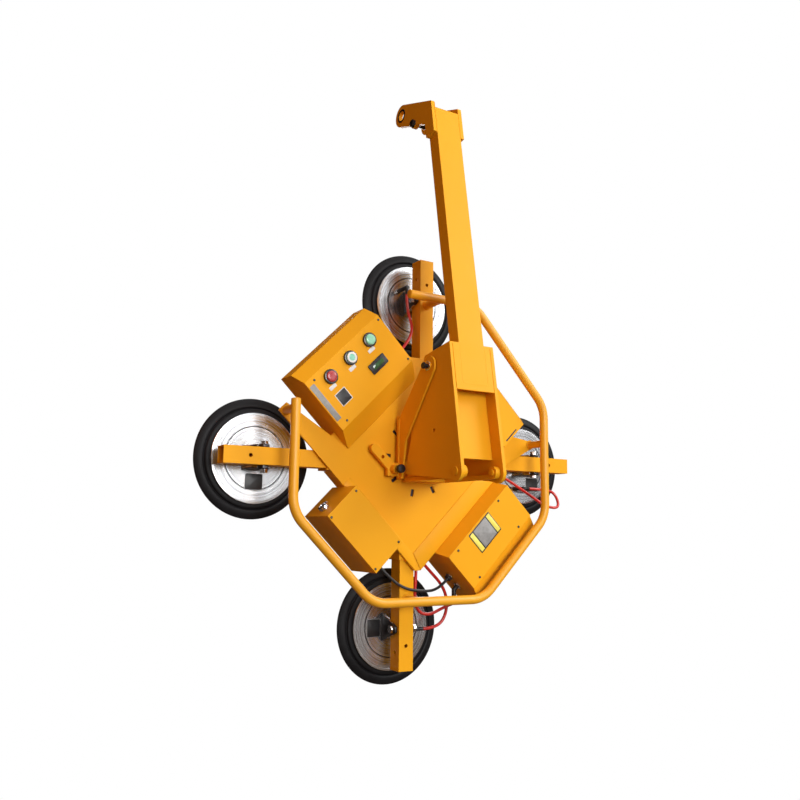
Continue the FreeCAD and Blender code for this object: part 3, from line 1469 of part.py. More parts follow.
def cord_routes():
    """Routes of the cords, from the ends of their fittings."""
    gland = size("gland_length")
    console_row, pump_row, battery_row = gland_rows()
    console_deep = size("console_gland_out")
    pump_deep = size("pump_gland_out")
    battery_deep = size("battery_gland_out")
    console_end = size("console_half_length") + gland
    pump_end = size("pump_box_half_length") + gland
    battery_end = size("battery_box_half_length") + gland
    top, bottom, right = port_ends()
    slanted, upright = manifold_outlets()
    corner, low, heading = feed_elbow()
    feed = low + heading * size("outlet_length")
    feed_run = feed + heading * 30
    side = (
        size("side_block_across") + 0.5 * size("side_block_width"),
        -size("outlet_out"),
        -size("side_block_drop"),
    )
    routes = {
        "hose_top": [
            top,
            beside(top, 0, 0, -44),
            beside(top, 21, -6, -106),
            diamond(console_end + 42, console_row, console_deep),
            diamond(console_end, console_row, console_deep),
        ],
        "hose_bottom": [
            slanted,
            beside(slanted, 26, 0, -26),
            (104, -87, -356),
            (122, -85, -404),
            (112, -81, -452),
            beside(bottom, 36, 0, 0),
            bottom,
        ],
        "hose_feed": [
            upright,
            beside(upright, 0, 0, -38),
            (1, -97, -386),
            (14, -97, -426),
            (52, -99, -434),
            tuple(feed_run),
            tuple(feed),
        ],
        "hose_right": [
            side,
            beside(side, 30, 0, 0),
            (376, -96, -68),
            (440, -94, -100),
            (487, -98, -126),
            (543, -96, -128),
            (543, -72, -76),
            beside(right, 46, 0, 0),
            right,
        ],
        "cable_battery": [
            diamond(battery_row, -battery_end, battery_deep),
            diamond(battery_row, -battery_end - 38, battery_deep),
            (-52, -117, -356),
            (8, -119, -368),
            diamond(-pump_end - 42, pump_row, pump_deep),
            diamond(-pump_end, pump_row, pump_deep),
        ],
    }
    return routes


def cord_fittings():
    """Glands on the boxes, the hose blocks behind the face plate and the feed elbow."""
    radius = size("gland_radius")
    gland = size("gland_length")
    console_row, pump_row, battery_row = gland_rows()
    starts = [
        (diamond(size("console_half_length"), console_row, size("console_gland_out")), diamond(1, 0, 0)),
        (diamond(-size("pump_box_half_length"), pump_row, size("pump_gland_out")), diamond(-1, 0, 0)),
        (diamond(battery_row, -size("battery_box_half_length"), size("battery_gland_out")), diamond(0, -1, 0)),
    ]
    pieces = []
    for start, direction in starts:
        pieces.append(Part.makeCylinder(radius, gland, FreeCAD.Vector(*start), FreeCAD.Vector(*direction)))
    back = -spot("plate_back_out")
    width = size("manifold_width")
    block = Part.makeBox(width, size("manifold_depth"), width, FreeCAD.Vector(-0.5 * width, 0, -0.5 * width))
    middle = diamond(-size("manifold_along"), size("manifold_inset") - size("frame_half"), -back)
    block.Placement = FreeCAD.Placement(FreeCAD.Vector(*middle), FreeCAD.Rotation(-TOWARDS, size("frame_turn")))
    slanted, upright = manifold_outlets()
    outlet = Part.makeCylinder(size("outlet_radius"), size("outlet_length"), FreeCAD.Vector(*upright), UP)
    pieces.append(block.fuse(outlet))
    width = size("side_block_width")
    corner = FreeCAD.Vector(size("side_block_across") - 0.5 * width, back, -size("side_block_drop") - 0.5 * width)
    pieces.append(Part.makeBox(width, size("manifold_depth"), width, corner))
    corner, low, heading = feed_elbow()
    root = corner - FreeCAD.Vector(*diamond(-size("feed_reach"), 0, 0))
    thick = size("port_radius")
    elbow = Part.makeCylinder(thick, size("feed_reach"), root, corner - root)
    elbow = elbow.fuse(Part.makeSphere(thick, corner))
    elbow = elbow.fuse(Part.makeCylinder(thick, size("feed_drop"), corner, -UP))
    elbow = elbow.fuse(Part.makeSphere(thick, low))
    elbow = elbow.fuse(Part.makeCylinder(size("outlet_radius"), size("outlet_length"), low, heading))
    pieces.append(elbow)
    coded("cord_fittings", Part.makeCompound(pieces))


def build():
    boom_tube()
    inner = "dim.boom_width / 2"
    head_plate("head_plate_right", inner)
    head_plate("head_plate_left", "0 - " + inner + " - dim.head_plate_thick")
    head_stop_bolt()
    yoke_cheek("yoke_cheek_right", "dim.yoke_inner_width / 2")
    yoke_cheek("yoke_cheek_left", "0 - place.cheek_face")
    yoke_front_plate()
    yoke_back_plate()
    yoke_foot_plate()
    hinge_pin()
    turret_base_plate()
    turret_gusset("turret_gusset_right", "place.gusset_face", False)
    turret_gusset("turret_gusset_left", "0 - place.gusset_outer", True)
    turret_shelf()
    bearing_spindle()
    spindle_retainer()
    bearing_outer_ring()
    index_plunger()
    latch_plunger()
    face_plate()
    frame_skirt()
    arm_receivers()
    for name in ARMS:
        arm(name)
        cup_plate(name)
        cup_seal(name)
    arm_bolts()
    console_shell()
    display()
    button_bezels()
    button("button_start", 1)
    button("button_lamp", 0)
    button("button_release", -1)
    control_board()
    battery_box()
    battery_box_lid()
    battery()
    charging_socket()
    pump_box()
    pump_box_lid()
    vacuum_pump()
    valve_box()
    valve_box_lid()
    vacuum_reservoir()
    doc.recompute()
    handrail()
    rail_posts()
    cord_fittings()
    routes = cord_routes()
    for label in routes:
        radius = size("cable_radius") if label.startswith("cable") else size("hose_radius")
        cord(label, routes[label], radius)
    doc.recompute()


def check_and_write():
    for item in doc.Objects:
        if "Invalid" in item.State or "Error" in item.State:
            raise RuntimeError("bad state: " + item.Label + " " + str(item.State))
    os.makedirs("parts", exist_ok=True)
    for node in NODES:
        if node.Shape.isNull() or not node.Shape.isValid():
            raise RuntimeError("bad shape: " + node.Label)
        node.Shape.exportStep("parts/" + node.Label + ".step")
    print("nodes", len(NODES))


build()
check_and_write()
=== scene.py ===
import math

import bmesh
import bpy
from mathutils import Matrix, Vector


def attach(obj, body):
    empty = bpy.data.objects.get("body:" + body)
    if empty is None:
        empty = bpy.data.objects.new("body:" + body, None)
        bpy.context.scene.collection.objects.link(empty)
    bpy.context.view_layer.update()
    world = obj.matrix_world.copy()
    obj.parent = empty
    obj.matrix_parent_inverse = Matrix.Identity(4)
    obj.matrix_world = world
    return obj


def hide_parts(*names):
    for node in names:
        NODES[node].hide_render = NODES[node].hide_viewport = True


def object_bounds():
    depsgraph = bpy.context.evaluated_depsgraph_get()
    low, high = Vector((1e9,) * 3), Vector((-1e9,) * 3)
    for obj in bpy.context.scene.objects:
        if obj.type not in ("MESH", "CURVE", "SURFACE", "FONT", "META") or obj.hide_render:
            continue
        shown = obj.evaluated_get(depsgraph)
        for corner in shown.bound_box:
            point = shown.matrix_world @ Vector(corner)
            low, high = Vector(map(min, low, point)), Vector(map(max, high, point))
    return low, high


# Four-cup vacuum lifter for glass panels. Lengths in the helpers are millimetres in the hub frame:
# X across, Z up, and "out" is the distance from the plane of the cup lips towards the operator.

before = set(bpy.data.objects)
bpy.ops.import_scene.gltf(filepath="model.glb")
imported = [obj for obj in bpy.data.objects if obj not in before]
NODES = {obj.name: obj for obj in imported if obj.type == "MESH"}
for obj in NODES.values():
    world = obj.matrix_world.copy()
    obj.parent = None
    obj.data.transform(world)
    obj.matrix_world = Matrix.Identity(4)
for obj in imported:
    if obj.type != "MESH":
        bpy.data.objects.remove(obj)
cad_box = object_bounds()
scene = bpy.context.scene

MM = 0.001

# The hub frame's origin lies this far behind and below the lifting eye.
HUB_REACH = 87
HUB_DROP = 1030
BOOM_LEAN = math.radians(9.4)

# Directions: along and up follow the edges of the diamond, across and rise are level and upright.
SLANT = math.sqrt(0.5)
ALONG = Vector((SLANT, 0, SLANT))
UP = Vector((-SLANT, 0, SLANT))
OUT = Vector((0, -1, 0))
ACROSS = Vector((1, 0, 0))
RISE = Vector((0, 0, 1))
BOTH_SIDES = (-1, 1)


def hub(x, y, z):
    """Scene place of a point given in hub millimetres."""
    return Vector((x, y + HUB_REACH, z - HUB_DROP)) * MM


def diamond(along, up, out):
    """Scene place of a point on the turned frame."""
    return hub((along - up) * SLANT, -out, (along + up) * SLANT)


def lean(x, across, up):
    """Scene place of a point in the leaning frame of the boom, from the lifting eye."""
    y = across * math.cos(BOOM_LEAN) + up * math.sin(BOOM_LEAN)
    z = up * math.cos(BOOM_LEAN) - across * math.sin(BOOM_LEAN)
    return Vector((x, y, z)) * MM


def photo_camera():
    """Camera with the lens and the place that were fitted to the photograph."""
    data = bpy.data.cameras.new("camera")
    data.lens = 36.873
    data.sensor_width = 36.0
    data.clip_start = 0.05
    obj = bpy.data.objects.new("camera", data)
    obj.matrix_world = Matrix((
        (0.854763, -0.089755, -0.511198, -1.24044),
        (-0.518894, -0.1263, -0.845457, -1.97584),
        (0.01132, 0.987923, -0.15453, -1.22601),
        (0, 0, 0, 1),
    ))
    scene.collection.objects.link(obj)
    scene.camera = obj


photo_camera()


# Materials. Lengths in them are metres.

NOISE_ROUGHNESS = 0.55
RING_ROUGHNESS = 0.7
BEVEL_SAMPLES = 8


class Look:
    """A node material with helpers for its procedural parts."""

    def __init__(self, name, slot, metallic, roughness, coat=0.0, coat_roughness=0.1):
        self.slot = slot
        self.material = bpy.data.materials.new(name)
        self.material.use_nodes = True
        self.nodes = self.material.node_tree.nodes
        self.links = self.material.node_tree.links
        self.shader = self.nodes["Principled BSDF"]
        self.set("Metallic", metallic)
        self.set("Roughness", roughness)
        self.set("Coat Weight", coat)
        self.set("Coat Roughness", coat_roughness)
        self.place = self.nodes.new("ShaderNodeTexCoord")

    def set(self, socket, value):
        """Sets a constant on the shader."""
        self.shader.inputs[socket].default_value = value

    def join(self, source, socket):
        """Links a node's output to the shader."""
        self.links.new(source, self.shader.inputs[socket])

    def noise_node(self, scale, detail, rough):
        """A noise node without its coordinates."""
        node = self.nodes.new("ShaderNodeTexNoise")
        node.inputs["Scale"].default_value = scale
        node.inputs["Detail"].default_value = detail
        node.inputs["Roughness"].default_value = rough
        return node

    def noise(self, scale, detail):
        """Noise in the object's own space."""
        node = self.noise_node(scale, detail, NOISE_ROUGHNESS)
        self.links.new(self.place.outputs["Object"], node.inputs["Vector"])
        return node.outputs["Fac"]

    def rings(self, scale, detail):
        """Noise that changes with the distance from the object's own Y axis."""
        flat = self.nodes.new("ShaderNodeVectorMath")
        flat.operation = "MULTIPLY"
        flat.inputs[1].default_value = (1, 0, 1)
        self.links.new(self.place.outputs["Object"], flat.inputs[0])
        length = self.nodes.new("ShaderNodeVectorMath")
        length.operation = "LENGTH"
        self.links.new(flat.outputs["Vector"], length.inputs[0])
        node = self.noise_node(scale, detail, RING_ROUGHNESS)
        node.noise_dimensions = "1D"
        self.links.new(length.outputs["Value"], node.inputs["W"])
        return node.outputs["Fac"]

    def ramp(self, source, *stops):
        """Colours or plain values at places of a source that runs from 0 to 1."""
        node = self.nodes.new("ShaderNodeValToRGB")
        elements = node.color_ramp.elements
        for element, (where, colour) in zip(elements, stops):
            element.position = where
            element.color = (*colour, 1) if isinstance(colour, tuple) else (colour, colour, colour, 1)
        self.links.new(source, node.inputs["Fac"])
        return node.outputs["Color"]

    def relief(self, height, strength, distance, below=None):
        """Normal of a bumpy surface, on top of another normal if one is given."""
        node = self.nodes.new("ShaderNodeBump")
        node.inputs["Strength"].default_value = strength
        node.inputs["Distance"].default_value = distance
        self.links.new(height, node.inputs["Height"])
        if below:
            self.links.new(below, node.inputs["Normal"])
        return node.outputs["Normal"]

    def rounded(self, radius):
        """Normal of a surface with rounded edges, or nothing for sharp ones."""
        if not radius:
            return None
        node = self.nodes.new("ShaderNodeBevel")
        node.samples = BEVEL_SAMPLES
        node.inputs["Radius"].default_value = radius
        return node.outputs["Normal"]


def paint_look(name, specular, coat, bevel=0.0):
    """Amber powder coat with faint changes of tone and gloss and a fine peel."""
    deep = (0.83, 0.372, 0.010)
    bright = (0.86, 0.392, 0.012)
    look = Look(name, "paint_yellow", metallic=0.0, roughness=0.45, coat=coat, coat_roughness=0.3)
    tone = look.noise(scale=3.0, detail=2.0)
    look.join(look.ramp(tone, (0.25, deep), (0.8, bright)), "Base Color")
    film = look.noise(scale=24.0, detail=3.0)
    look.join(look.ramp(film, (0.3, 0.42), (0.75, 0.5)), "Roughness")
    look.set("Specular IOR Level", specular)
    peel = look.noise(scale=260.0, detail=1.0)
    look.join(look.relief(peel, strength=0.02, distance=0.0008, below=look.rounded(bevel)), "Normal")
    return look


def turned_look():
    """Aluminium with the rings and the sheen of a lathe."""
    dull = (0.42, 0.425, 0.44)
    bright = (0.68, 0.685, 0.695)
    look = Look("turned_aluminium", "cup_aluminium", metallic=1.0, roughness=0.2)
    marks = look.rings(scale=900.0, detail=3.0)
    bands = look.rings(scale=170.0, detail=2.0)
    look.join(look.ramp(bands, (0.3, dull), (0.7, bright)), "Base Color")
    look.join(look.ramp(marks, (0.2, 0.17), (0.8, 0.32)), "Roughness")
    look.join(look.relief(marks, strength=0.08, distance=0.0006), "Normal")
    look.set("Anisotropic", 0.45)
    tangent = look.nodes.new("ShaderNodeTangent")
    tangent.direction_type = "RADIAL"
    tangent.axis = "Y"
    look.join(tangent.outputs["Tangent"], "Tangent")
    return look


def rubber_look():
    """Black rubber with a grey bloom and a fine grain."""
    black = (0.005, 0.005, 0.006)
    grey = (0.010, 0.010, 0.012)
    look = Look("cup_rubber", "seal_rubber", metallic=0.0, roughness=0.5)
    look.set("Specular IOR Level", 0.2)
    bloom = look.noise(scale=22.0, detail=4.0)
    look.join(look.ramp(bloom, (0.35, black), (0.8, grey)), "Base Color")
    look.join(look.ramp(bloom, (0.3, 0.46), (0.8, 0.62)), "Roughness")
    grain = look.noise(scale=600.0, detail=2.0)
    look.join(look.relief(grain, strength=0.12, distance=0.0008), "Normal")
    return look


def plain_look(name, slot, dark, light, rough, scale, grain, bump, metallic=0.0, coat=0.0, bevel=0.0):
    """A surface between two near tones, whose gloss follows the tone, with a fine grain."""
    smooth, dull = rough
    look = Look(name, slot, metallic, smooth, coat)
    tone = look.noise(scale, detail=3.0)
    look.join(look.ramp(tone, (0.3, dark), (0.75, light)), "Base Color")
    look.join(look.ramp(tone, (0.25, smooth), (0.8, dull)), "Roughness")
    below = look.rounded(bevel)
    height = look.noise(grain, detail=2.0)
    look.join(look.relief(height, bump, distance=0.0006, below=below), "Normal")
    return look


PAINT = paint_look("amber_paint", specular=0.11, coat=0.03, bevel=0.0018)
TUBE_PAINT = paint_look("amber_tube_paint", specular=0.45, coat=0.25)
TURNED = turned_look()
RUBBER = rubber_look()
BLACK_STEEL = plain_look(
    "black_oxide", "black_oxide_steel", (0.016, 0.016, 0.018), (0.04, 0.04, 0.043),
    rough=(0.3, 0.5), scale=60.0, grain=700.0, bump=0.08, metallic=0.7, bevel=0.001,
)
# Near-black metal of the cup lugs and their welds: painted shade on the lugs' metal.
LUG_SHADE_LOOK = plain_look(
    "lug_metal_painted_shade", "cup_aluminium", (0.045, 0.045, 0.048), (0.10, 0.10, 0.105),
    rough=(0.28, 0.45), scale=40.0, grain=650.0, bump=0.06, metallic=0.85, bevel=0.0014,
)
BRIGHT = plain_look(
    "bright_steel", "bright_steel", (0.60, 0.60, 0.61), (0.80, 0.80, 0.81),
    rough=(0.14, 0.3), scale=80.0, grain=600.0, bump=0.04, metallic=1.0, bevel=0.0008,
)
PLASTIC = plain_look(
    "black_plastic", "black_plastic", (0.010, 0.010, 0.011), (0.022, 0.022, 0.024),
    rough=(0.32, 0.5), scale=50.0, grain=900.0, bump=0.08, bevel=0.0006,
)
HOSE = plain_look(
    "red_hose", "red_hose", (0.50, 0.012, 0.010), (0.66, 0.025, 0.016),
    rough=(0.26, 0.4), scale=45.0, grain=400.0, bump=0.03, coat=0.2,
)
CABLE = plain_look(
    "cable_jacket", "cable_black", (0.010, 0.010, 0.011), (0.024, 0.024, 0.026),
    rough=(0.4, 0.55), scale=60.0, grain=800.0, bump=0.08,
)
BEZEL = plain_look(
    "bezel_metal", "bezel_metal", (0.055, 0.055, 0.06), (0.11, 0.11, 0.115),
    rough=(0.25, 0.4), scale=90.0, grain=700.0, bump=0.05, metallic=0.9,
)
MINT_DOME = plain_look(
    "button_mint_dome", "button_green", (0.26, 0.66, 0.44), (0.36, 0.76, 0.54),
    rough=(0.24, 0.34), scale=90.0, grain=500.0, bump=0.02, coat=0.4,
)
MINT_LENS = plain_look(
    "lamp_lens", "button_mint", (0.22, 0.62, 0.46), (0.32, 0.72, 0.56),
    rough=(0.18, 0.28), scale=90.0, grain=500.0, bump=0.02, coat=0.4,
)
RED_DOME = plain_look(
    "button_red_dome", "button_red", (0.40, 0.035, 0.040), (0.52, 0.060, 0.060),
    rough=(0.24, 0.36), scale=90.0, grain=500.0, bump=0.02, coat=0.4,
)
BOARD = plain_look(
    "board_green", "board_green", (0.008, 0.07, 0.025), (0.015, 0.11, 0.04),
    rough=(0.35, 0.5), scale=80.0, grain=300.0, bump=0.05,
)
ALLOY = plain_look(
    "pump_alloy", "pump_alloy", (0.42, 0.42, 0.43), (0.58, 0.58, 0.59),
    rough=(0.4, 0.55), scale=60.0, grain=300.0, bump=0.15, metallic=0.9,
)
TANK = plain_look(
    "tank_steel", "tank_steel", (0.26, 0.27, 0.28), (0.36, 0.37, 0.38),
    rough=(0.3, 0.45), scale=30.0, grain=400.0, bump=0.05, metallic=0.8,
)
LCD = plain_look(
    "display_glass", "black_plastic", (0.035, 0.10, 0.035), (0.05, 0.14, 0.05),
    rough=(0.08, 0.16), scale=60.0, grain=300.0, bump=0.01, coat=0.6,
)
TAG = plain_look(
    "blank_tag", "bezel_metal", (0.72, 0.72, 0.70), (0.82, 0.82, 0.80),
    rough=(0.35, 0.5), scale=120.0, grain=700.0, bump=0.03,
)
GREY = plain_look(
    "grey_label", "bezel_metal", (0.24, 0.24, 0.235), (0.33, 0.33, 0.325),
    rough=(0.35, 0.5), scale=90.0, grain=700.0, bump=0.03,
)
CREAM = plain_look(
    "pale_band", "paint_yellow", (0.84, 0.72, 0.10), (0.90, 0.80, 0.16),
    rough=(0.35, 0.5), scale=90.0, grain=700.0, bump=0.03,
)


# Mesh helpers. Places are scene points, sizes are millimetres.

HEXAGON = 6
SCREW_SEGMENTS = 20
RIM_STEPS = 2
CORNER_STEPS = 4
BEAD_PITCH = 3.2
BEAD_STEPS = 3
BEAD_SPOKES = 8


def piece(name, bm, look, body, replaces=(), smooth=35.0, origin=None):
    """Makes an object of a bmesh and hangs it on a body.

    Edges under the angle smooth are shaded round. An origin becomes the object's own one, around which
    its material turns.
    """
    if origin is not None:
        bmesh.ops.translate(bm, verts=bm.verts, vec=-origin)
    bmesh.ops.recalc_face_normals(bm, faces=bm.faces)
    mesh = bpy.data.meshes.new(name)
    bm.to_mesh(mesh)
    bm.free()
    for polygon in mesh.polygons:
        polygon.use_smooth = True
    mesh.set_sharp_from_angle(angle=math.radians(smooth))
    mesh.materials.append(look.material)
    obj = bpy.data.objects.new(name, mesh)
    scene.collection.objects.link(obj)
    if origin is not None:
        obj.location = origin
        bpy.context.view_layer.update()
    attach(obj, body)
    if replaces:
        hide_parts(*replaces)


def sides(axis):
    """Two unit vectors square to an axis."""
    helper = RISE if abs(axis.dot(RISE)) < 0.9 else ACROSS
    one = axis.cross(helper).normalized()
    return one, axis.cross(one).normalized()


def circle(bm, middle, one, two, radius, count):
    """Adds a ring of points in the plane of two unit vectors."""
    ring = []
    for step in range(count):
        angle = 2 * math.pi * step / count
        arm = one * math.cos(angle) + two * math.sin(angle)
        ring.append(bm.verts.new(middle + arm * (radius * MM)))
    return ring


def bridge(bm, low, high):
    """Adds the faces between two rings of as many points and returns them."""
    made = []
    count = len(low)
    for step in range(count):
        after = (step + 1) % count
        made.append(bm.faces.new((low[step], low[after], high[after], high[step])))
    return made


def turn(bm, origin, axis, profile, segments=48, closed=False):
    """Adds a turned form; profile is (radius, distance along the axis)."""
    one, two = sides(axis)
    rings = []
    for radius, height in profile:
        middle = origin + axis * (height * MM)
        rings.append(circle(bm, middle, one, two, radius, segments))
    for low, high in zip(rings, rings[1:]):
        bridge(bm, low, high)
    if closed:
        bridge(bm, rings[-1], rings[0])
    else:
        bm.faces.new(rings[0])
        bm.faces.new(rings[-1])


def slab(bm, corners, lift, rim=0.0):
    """Adds a prism over a flat outline, lifted by a scene vector, with rounded edges of width rim."""
    low = [bm.verts.new(corner) for corner in corners]
    high = [bm.verts.new(corner + lift) for corner in corners]
    made = [bm.faces.new(low), bm.faces.new(high)]
    made += bridge(bm, low, high)
    bmesh.ops.recalc_face_normals(bm, faces=made)
    if rim:
        edges = list({edge for face in made for edge in face.edges})
        bmesh.ops.bevel(
            bm, geom=edges, offset=rim * MM, segments=RIM_STEPS, affect="EDGES", profile=0.5,
        )


def oblong(centre, one, two, length, width, corner):
    """Outline of a rectangle with round corners, in the plane of two unit vectors."""
    points = []
    for s, t, start in ((1, 1, 0), (-1, 1, 90), (-1, -1, 180), (1, -1, 270)):
        for step in range(CORNER_STEPS + 1):
            angle = math.radians(start + 90 * step / CORNER_STEPS)
            x = s * (length / 2 - corner) + corner * math.cos(angle)
            y = t * (width / 2 - corner) + corner * math.sin(angle)
            points.append(centre + one * (x * MM) + two * (y * MM))
    return points


def plates(name, look, centres, length, width, corner, height, rim=0.15, replaces=()):
    """Makes one piece of flat plates that lie on the frame's housings."""
    bm = bmesh.new()
    for centre in centres:
        slab(bm, oblong(centre, ALONG, UP, length, width, corner), OUT * (height * MM), rim)
    piece(name, bm, look, "frame", replaces)


def bead(bm, start, end, radius, ripple=0.16):
    """Adds a rippled weld bead on a straight run between two points, thin at its ends."""
    run = end - start
    length = run.length / MM
    one, two = sides(run.normalized())
    count = max(int(length / (BEAD_PITCH / BEAD_STEPS)), BEAD_STEPS)
    rings = []
    for step in range(count + 1):
        share = step / count
        size = radius * (1 + ripple * math.sin(2 * math.pi * share * length / BEAD_PITCH))
        if step in (0, count):
            size *= 0.5
        rings.append(circle(bm, start + run * share, one, two, size, BEAD_SPOKES))
    for low, high in zip(rings, rings[1:]):
        bridge(bm, low, high)
    bm.faces.new(rings[0])
    bm.faces.new(rings[-1])


def screw(bm, origin, axis, radius, height):
    """Adds a button head screw with a socket."""
    profile = [
        (radius, 0), (radius, height * 0.3), (radius * 0.86, height * 0.75), (radius * 0.6, height),
        (radius * 0.5, height), (radius * 0.48, height * 0.45), (radius * 0.1, height * 0.3),
    ]
    turn(bm, origin, axis, profile, SCREW_SEGMENTS)


def corner_screws(bm, alongs, ups, out, radius, height):
    """Adds a screw at each corner of a lid on the frame."""
    for along in alongs:
        for up in ups:
            screw(bm, diamond(along, up, out), OUT, radius, height)


# Cords: their points are those of the routes in the part's source.

CONSOLE_ROW = 252
PUMP_ROW = -316
ELBOW_ROW = -354
BATTERY_ROW = -296
MANIFOLD_ROW = -204
CONSOLE_CORD_OUT = 92
PUMP_CORD_OUT = 100
BATTERY_CORD_OUT = 112
MANIFOLD_OUT = 98
NIPPLE_OUT = 77
HOSE_RADIUS = 4.4
CABLE_RADIUS = 4.0

TOP_NIPPLE = hub(-20.5, -NIPPLE_OUT, 482.5)
BOTTOM_NIPPLE = hub(43.5, -NIPPLE_OUT, -473)
RIGHT_NIPPLE = hub(433.5, -NIPPLE_OUT, -70)
SIDE_OUTLET = hub(269, -98, -32)
SLANTED_OUTLET = diamond(-186, MANIFOLD_ROW - 8, MANIFOLD_OUT)
UPRIGHT_OUTLET = diamond(-194, MANIFOLD_ROW, MANIFOLD_OUT) + Vector((-1, 0, -7)) * MM
BATTERY_OUTLET = diamond(BATTERY_ROW, -116, BATTERY_CORD_OUT)

# The feed hose ends on an elbow, whose nipple points to the left and a little down.
FEED_SLOPE = math.radians(18)
FEED_HEADING = Vector((-math.cos(FEED_SLOPE), 0, -math.sin(FEED_SLOPE)))
ELBOW_LOW = diamond(-166, ELBOW_ROW, PUMP_CORD_OUT) - RISE * (36 * MM)
FEED_INLET = ELBOW_LOW + FEED_HEADING * (14 * MM)


def cord(name, route, radius, look):
    """Makes a cord of its route points; its length is in metres."""
    data = bpy.data.curves.new(name, "CURVE")
    data.dimensions = "3D"
    data.bevel_depth = radius * MM
    data.bevel_resolution = 5
    data.use_fill_caps = True
    data.resolution_u = 14
    spline = data.splines.new("NURBS")
    spline.points.add(len(route) - 1)
    for point, place in zip(spline.points, route):
        point.co = (*place, 1)
    spline.order_u = 3
    spline.use_endpoint_u = True
    data.materials.append(look.material)
    obj = bpy.data.objects.new(name + "_cord", data)
    scene.collection.objects.link(obj)
    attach(obj, "frame")
    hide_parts(name)


cord("hose_top", [
    TOP_NIPPLE, hub(-20.5, -77, 438.5), hub(0.5, -83, 376.5),
    diamond(206, CONSOLE_ROW, CONSOLE_CORD_OUT), diamond(164, CONSOLE_ROW, CONSOLE_CORD_OUT),
], HOSE_RADIUS, HOSE)
cord("hose_bottom", [
    SLANTED_OUTLET, SLANTED_OUTLET + Vector((26, 0, -26)) * MM, hub(104, -87, -356), hub(122, -85, -404),
    hub(112, -81, -452), hub(79.5, -77, -473), BOTTOM_NIPPLE,
], HOSE_RADIUS, HOSE)
cord("hose_feed", [
    UPRIGHT_OUTLET, UPRIGHT_OUTLET - RISE * (38 * MM), hub(1, -97, -386), hub(14, -97, -426),
    hub(52, -99, -434), FEED_INLET + FEED_HEADING * (30 * MM), FEED_INLET,
], HOSE_RADIUS, HOSE)
cord("hose_right", [
    SIDE_OUTLET, hub(299, -98, -32), hub(376, -96, -68), hub(440, -94, -100), hub(487, -98, -126),
    hub(543, -96, -128), hub(543, -72, -76), hub(479.5, -77, -70), RIGHT_NIPPLE,
], HOSE_RADIUS, HOSE)
cord("cable_battery", [
    BATTERY_OUTLET, diamond(BATTERY_ROW, -154, BATTERY_CORD_OUT), hub(-52, -117, -356), hub(8, -119, -368),
    diamond(-202, PUMP_ROW, PUMP_CORD_OUT), diamond(-160, PUMP_ROW, PUMP_CORD_OUT),
], CABLE_RADIUS, CABLE)


# Materials of the CAD nodes.

DRESS = {
    PAINT: (
        "boom_tube", "head_plate_right", "head_plate_left", "hinge_pin",
        "yoke_cheek_right", "yoke_cheek_left", "yoke_front_plate", "yoke_back_plate", "yoke_foot_plate",
        "turret_base_plate", "turret_gusset_right", "turret_gusset_left", "turret_shelf",
        "bearing_outer_ring", "face_plate", "frame_skirt", "arm_receivers",
        "arm_top", "arm_bottom", "arm_right", "arm_left", "console_shell",
        "battery_box", "battery_box_lid", "pump_box", "pump_box_lid", "valve_box", "valve_box_lid",
    ),
    TUBE_PAINT: ("handrail", "rail_posts"),
    BLACK_STEEL: ("head_stop_bolt", "index_plunger", "latch_plunger"),
    BRIGHT: ("bearing_spindle", "spindle_retainer", "arm_bolts"),
    PLASTIC: ("charging_socket", "battery", "display", "cord_fittings"),
    BEZEL: ("button_bezels",),
    BOARD: ("control_board",),
    ALLOY: ("vacuum_pump",),
    TANK: ("vacuum_reservoir",),
    RUBBER: ("cup_seal_top", "cup_seal_bottom", "cup_seal_right", "cup_seal_left"),
    TURNED: ("cup_plate_top", "cup_plate_bottom", "cup_plate_right", "cup_plate_left"),
    MINT_DOME: ("button_start",),
    MINT_LENS: ("button_lamp",),
    RED_DOME: ("button_release",),
    HOSE: ("hose_top", "hose_bottom", "hose_feed", "hose_right"),
    CABLE: ("cable_battery",),
}
for look, names in DRESS.items():
    for name in names:
        materials = NODES[name].data.materials
        materials.clear()
        materials.append(look.material)


# Cups.

CUP_SEGMENTS = 128
PORT_SEGMENTS = 28
DISC_BORE = 30
DISC_BACK = 13.2
DISC_FACE = 22
RING_FLOOR = 20.2
LABEL_LENGTH = 40
LABEL_WIDTH = 47
SEAL_BORE = 70
SEAL_TOP = 12.8
SEAL_FLOOR = 7
RIB_RADII = (108, 98, 88)
RIB_EDGE = 5.2

# A lug's sides across the arm, and the corners of its right half along the arm and out.
LUG_INSIDE = 23.5
LUG_THICK = 8
LUG_OUTSIDE = LUG_INSIDE + LUG_THICK
LUG_STARTS = (LUG_INSIDE, -LUG_OUTSIDE)
LUG_FOOT = 38
LUG_SHOULDER = (15, 81.2)
LUG_TOP = (7.5, 96.2)

# Painted highlight strip on a lug's slanted flank, and the direction square to that flank.
FLANK_MARGIN = 0.2
FLANK_HEIGHT = 0.6
FLANK_ALONG = 0.93
FLANK_OUT = 0.36


class Cup:
    """A cup's body, its middle and its axes across and along its arm."""

    def __init__(self, name, x, z, across, along):
        self.name = name
        self.body = "cup_" + name
        self.centre = hub(x, 0, z)
        self.across = across
        self.along = along

    def at(self, across, along, out):
        """Scene place of a point in the cup's axes."""
        return self.centre + (self.across * across + self.along * along + OUT * out) * MM


CUPS = (
    Cup("top", 32, 469, ACROSS, RISE),
    Cup("bottom", -28, -469, -ACROSS, -RISE),
    Cup("right", 450, 4, -RISE, ACROSS),
    Cup("left", -450, -18, RISE, -ACROSS),
)

# Place of a hose port across and along the arm, and the heading of its nipple in the same axes.
PORTS = {
    "top": (-52.5, 35, 0, -1),
    "bottom": (-50, 4, -1, 0),
    "right": (74, -38, 0, 1),
}

# Place of a label across and along the arm.
LABELS = {"bottom": (56, 2), "right": (58, 41), "left": (-62, 2)}


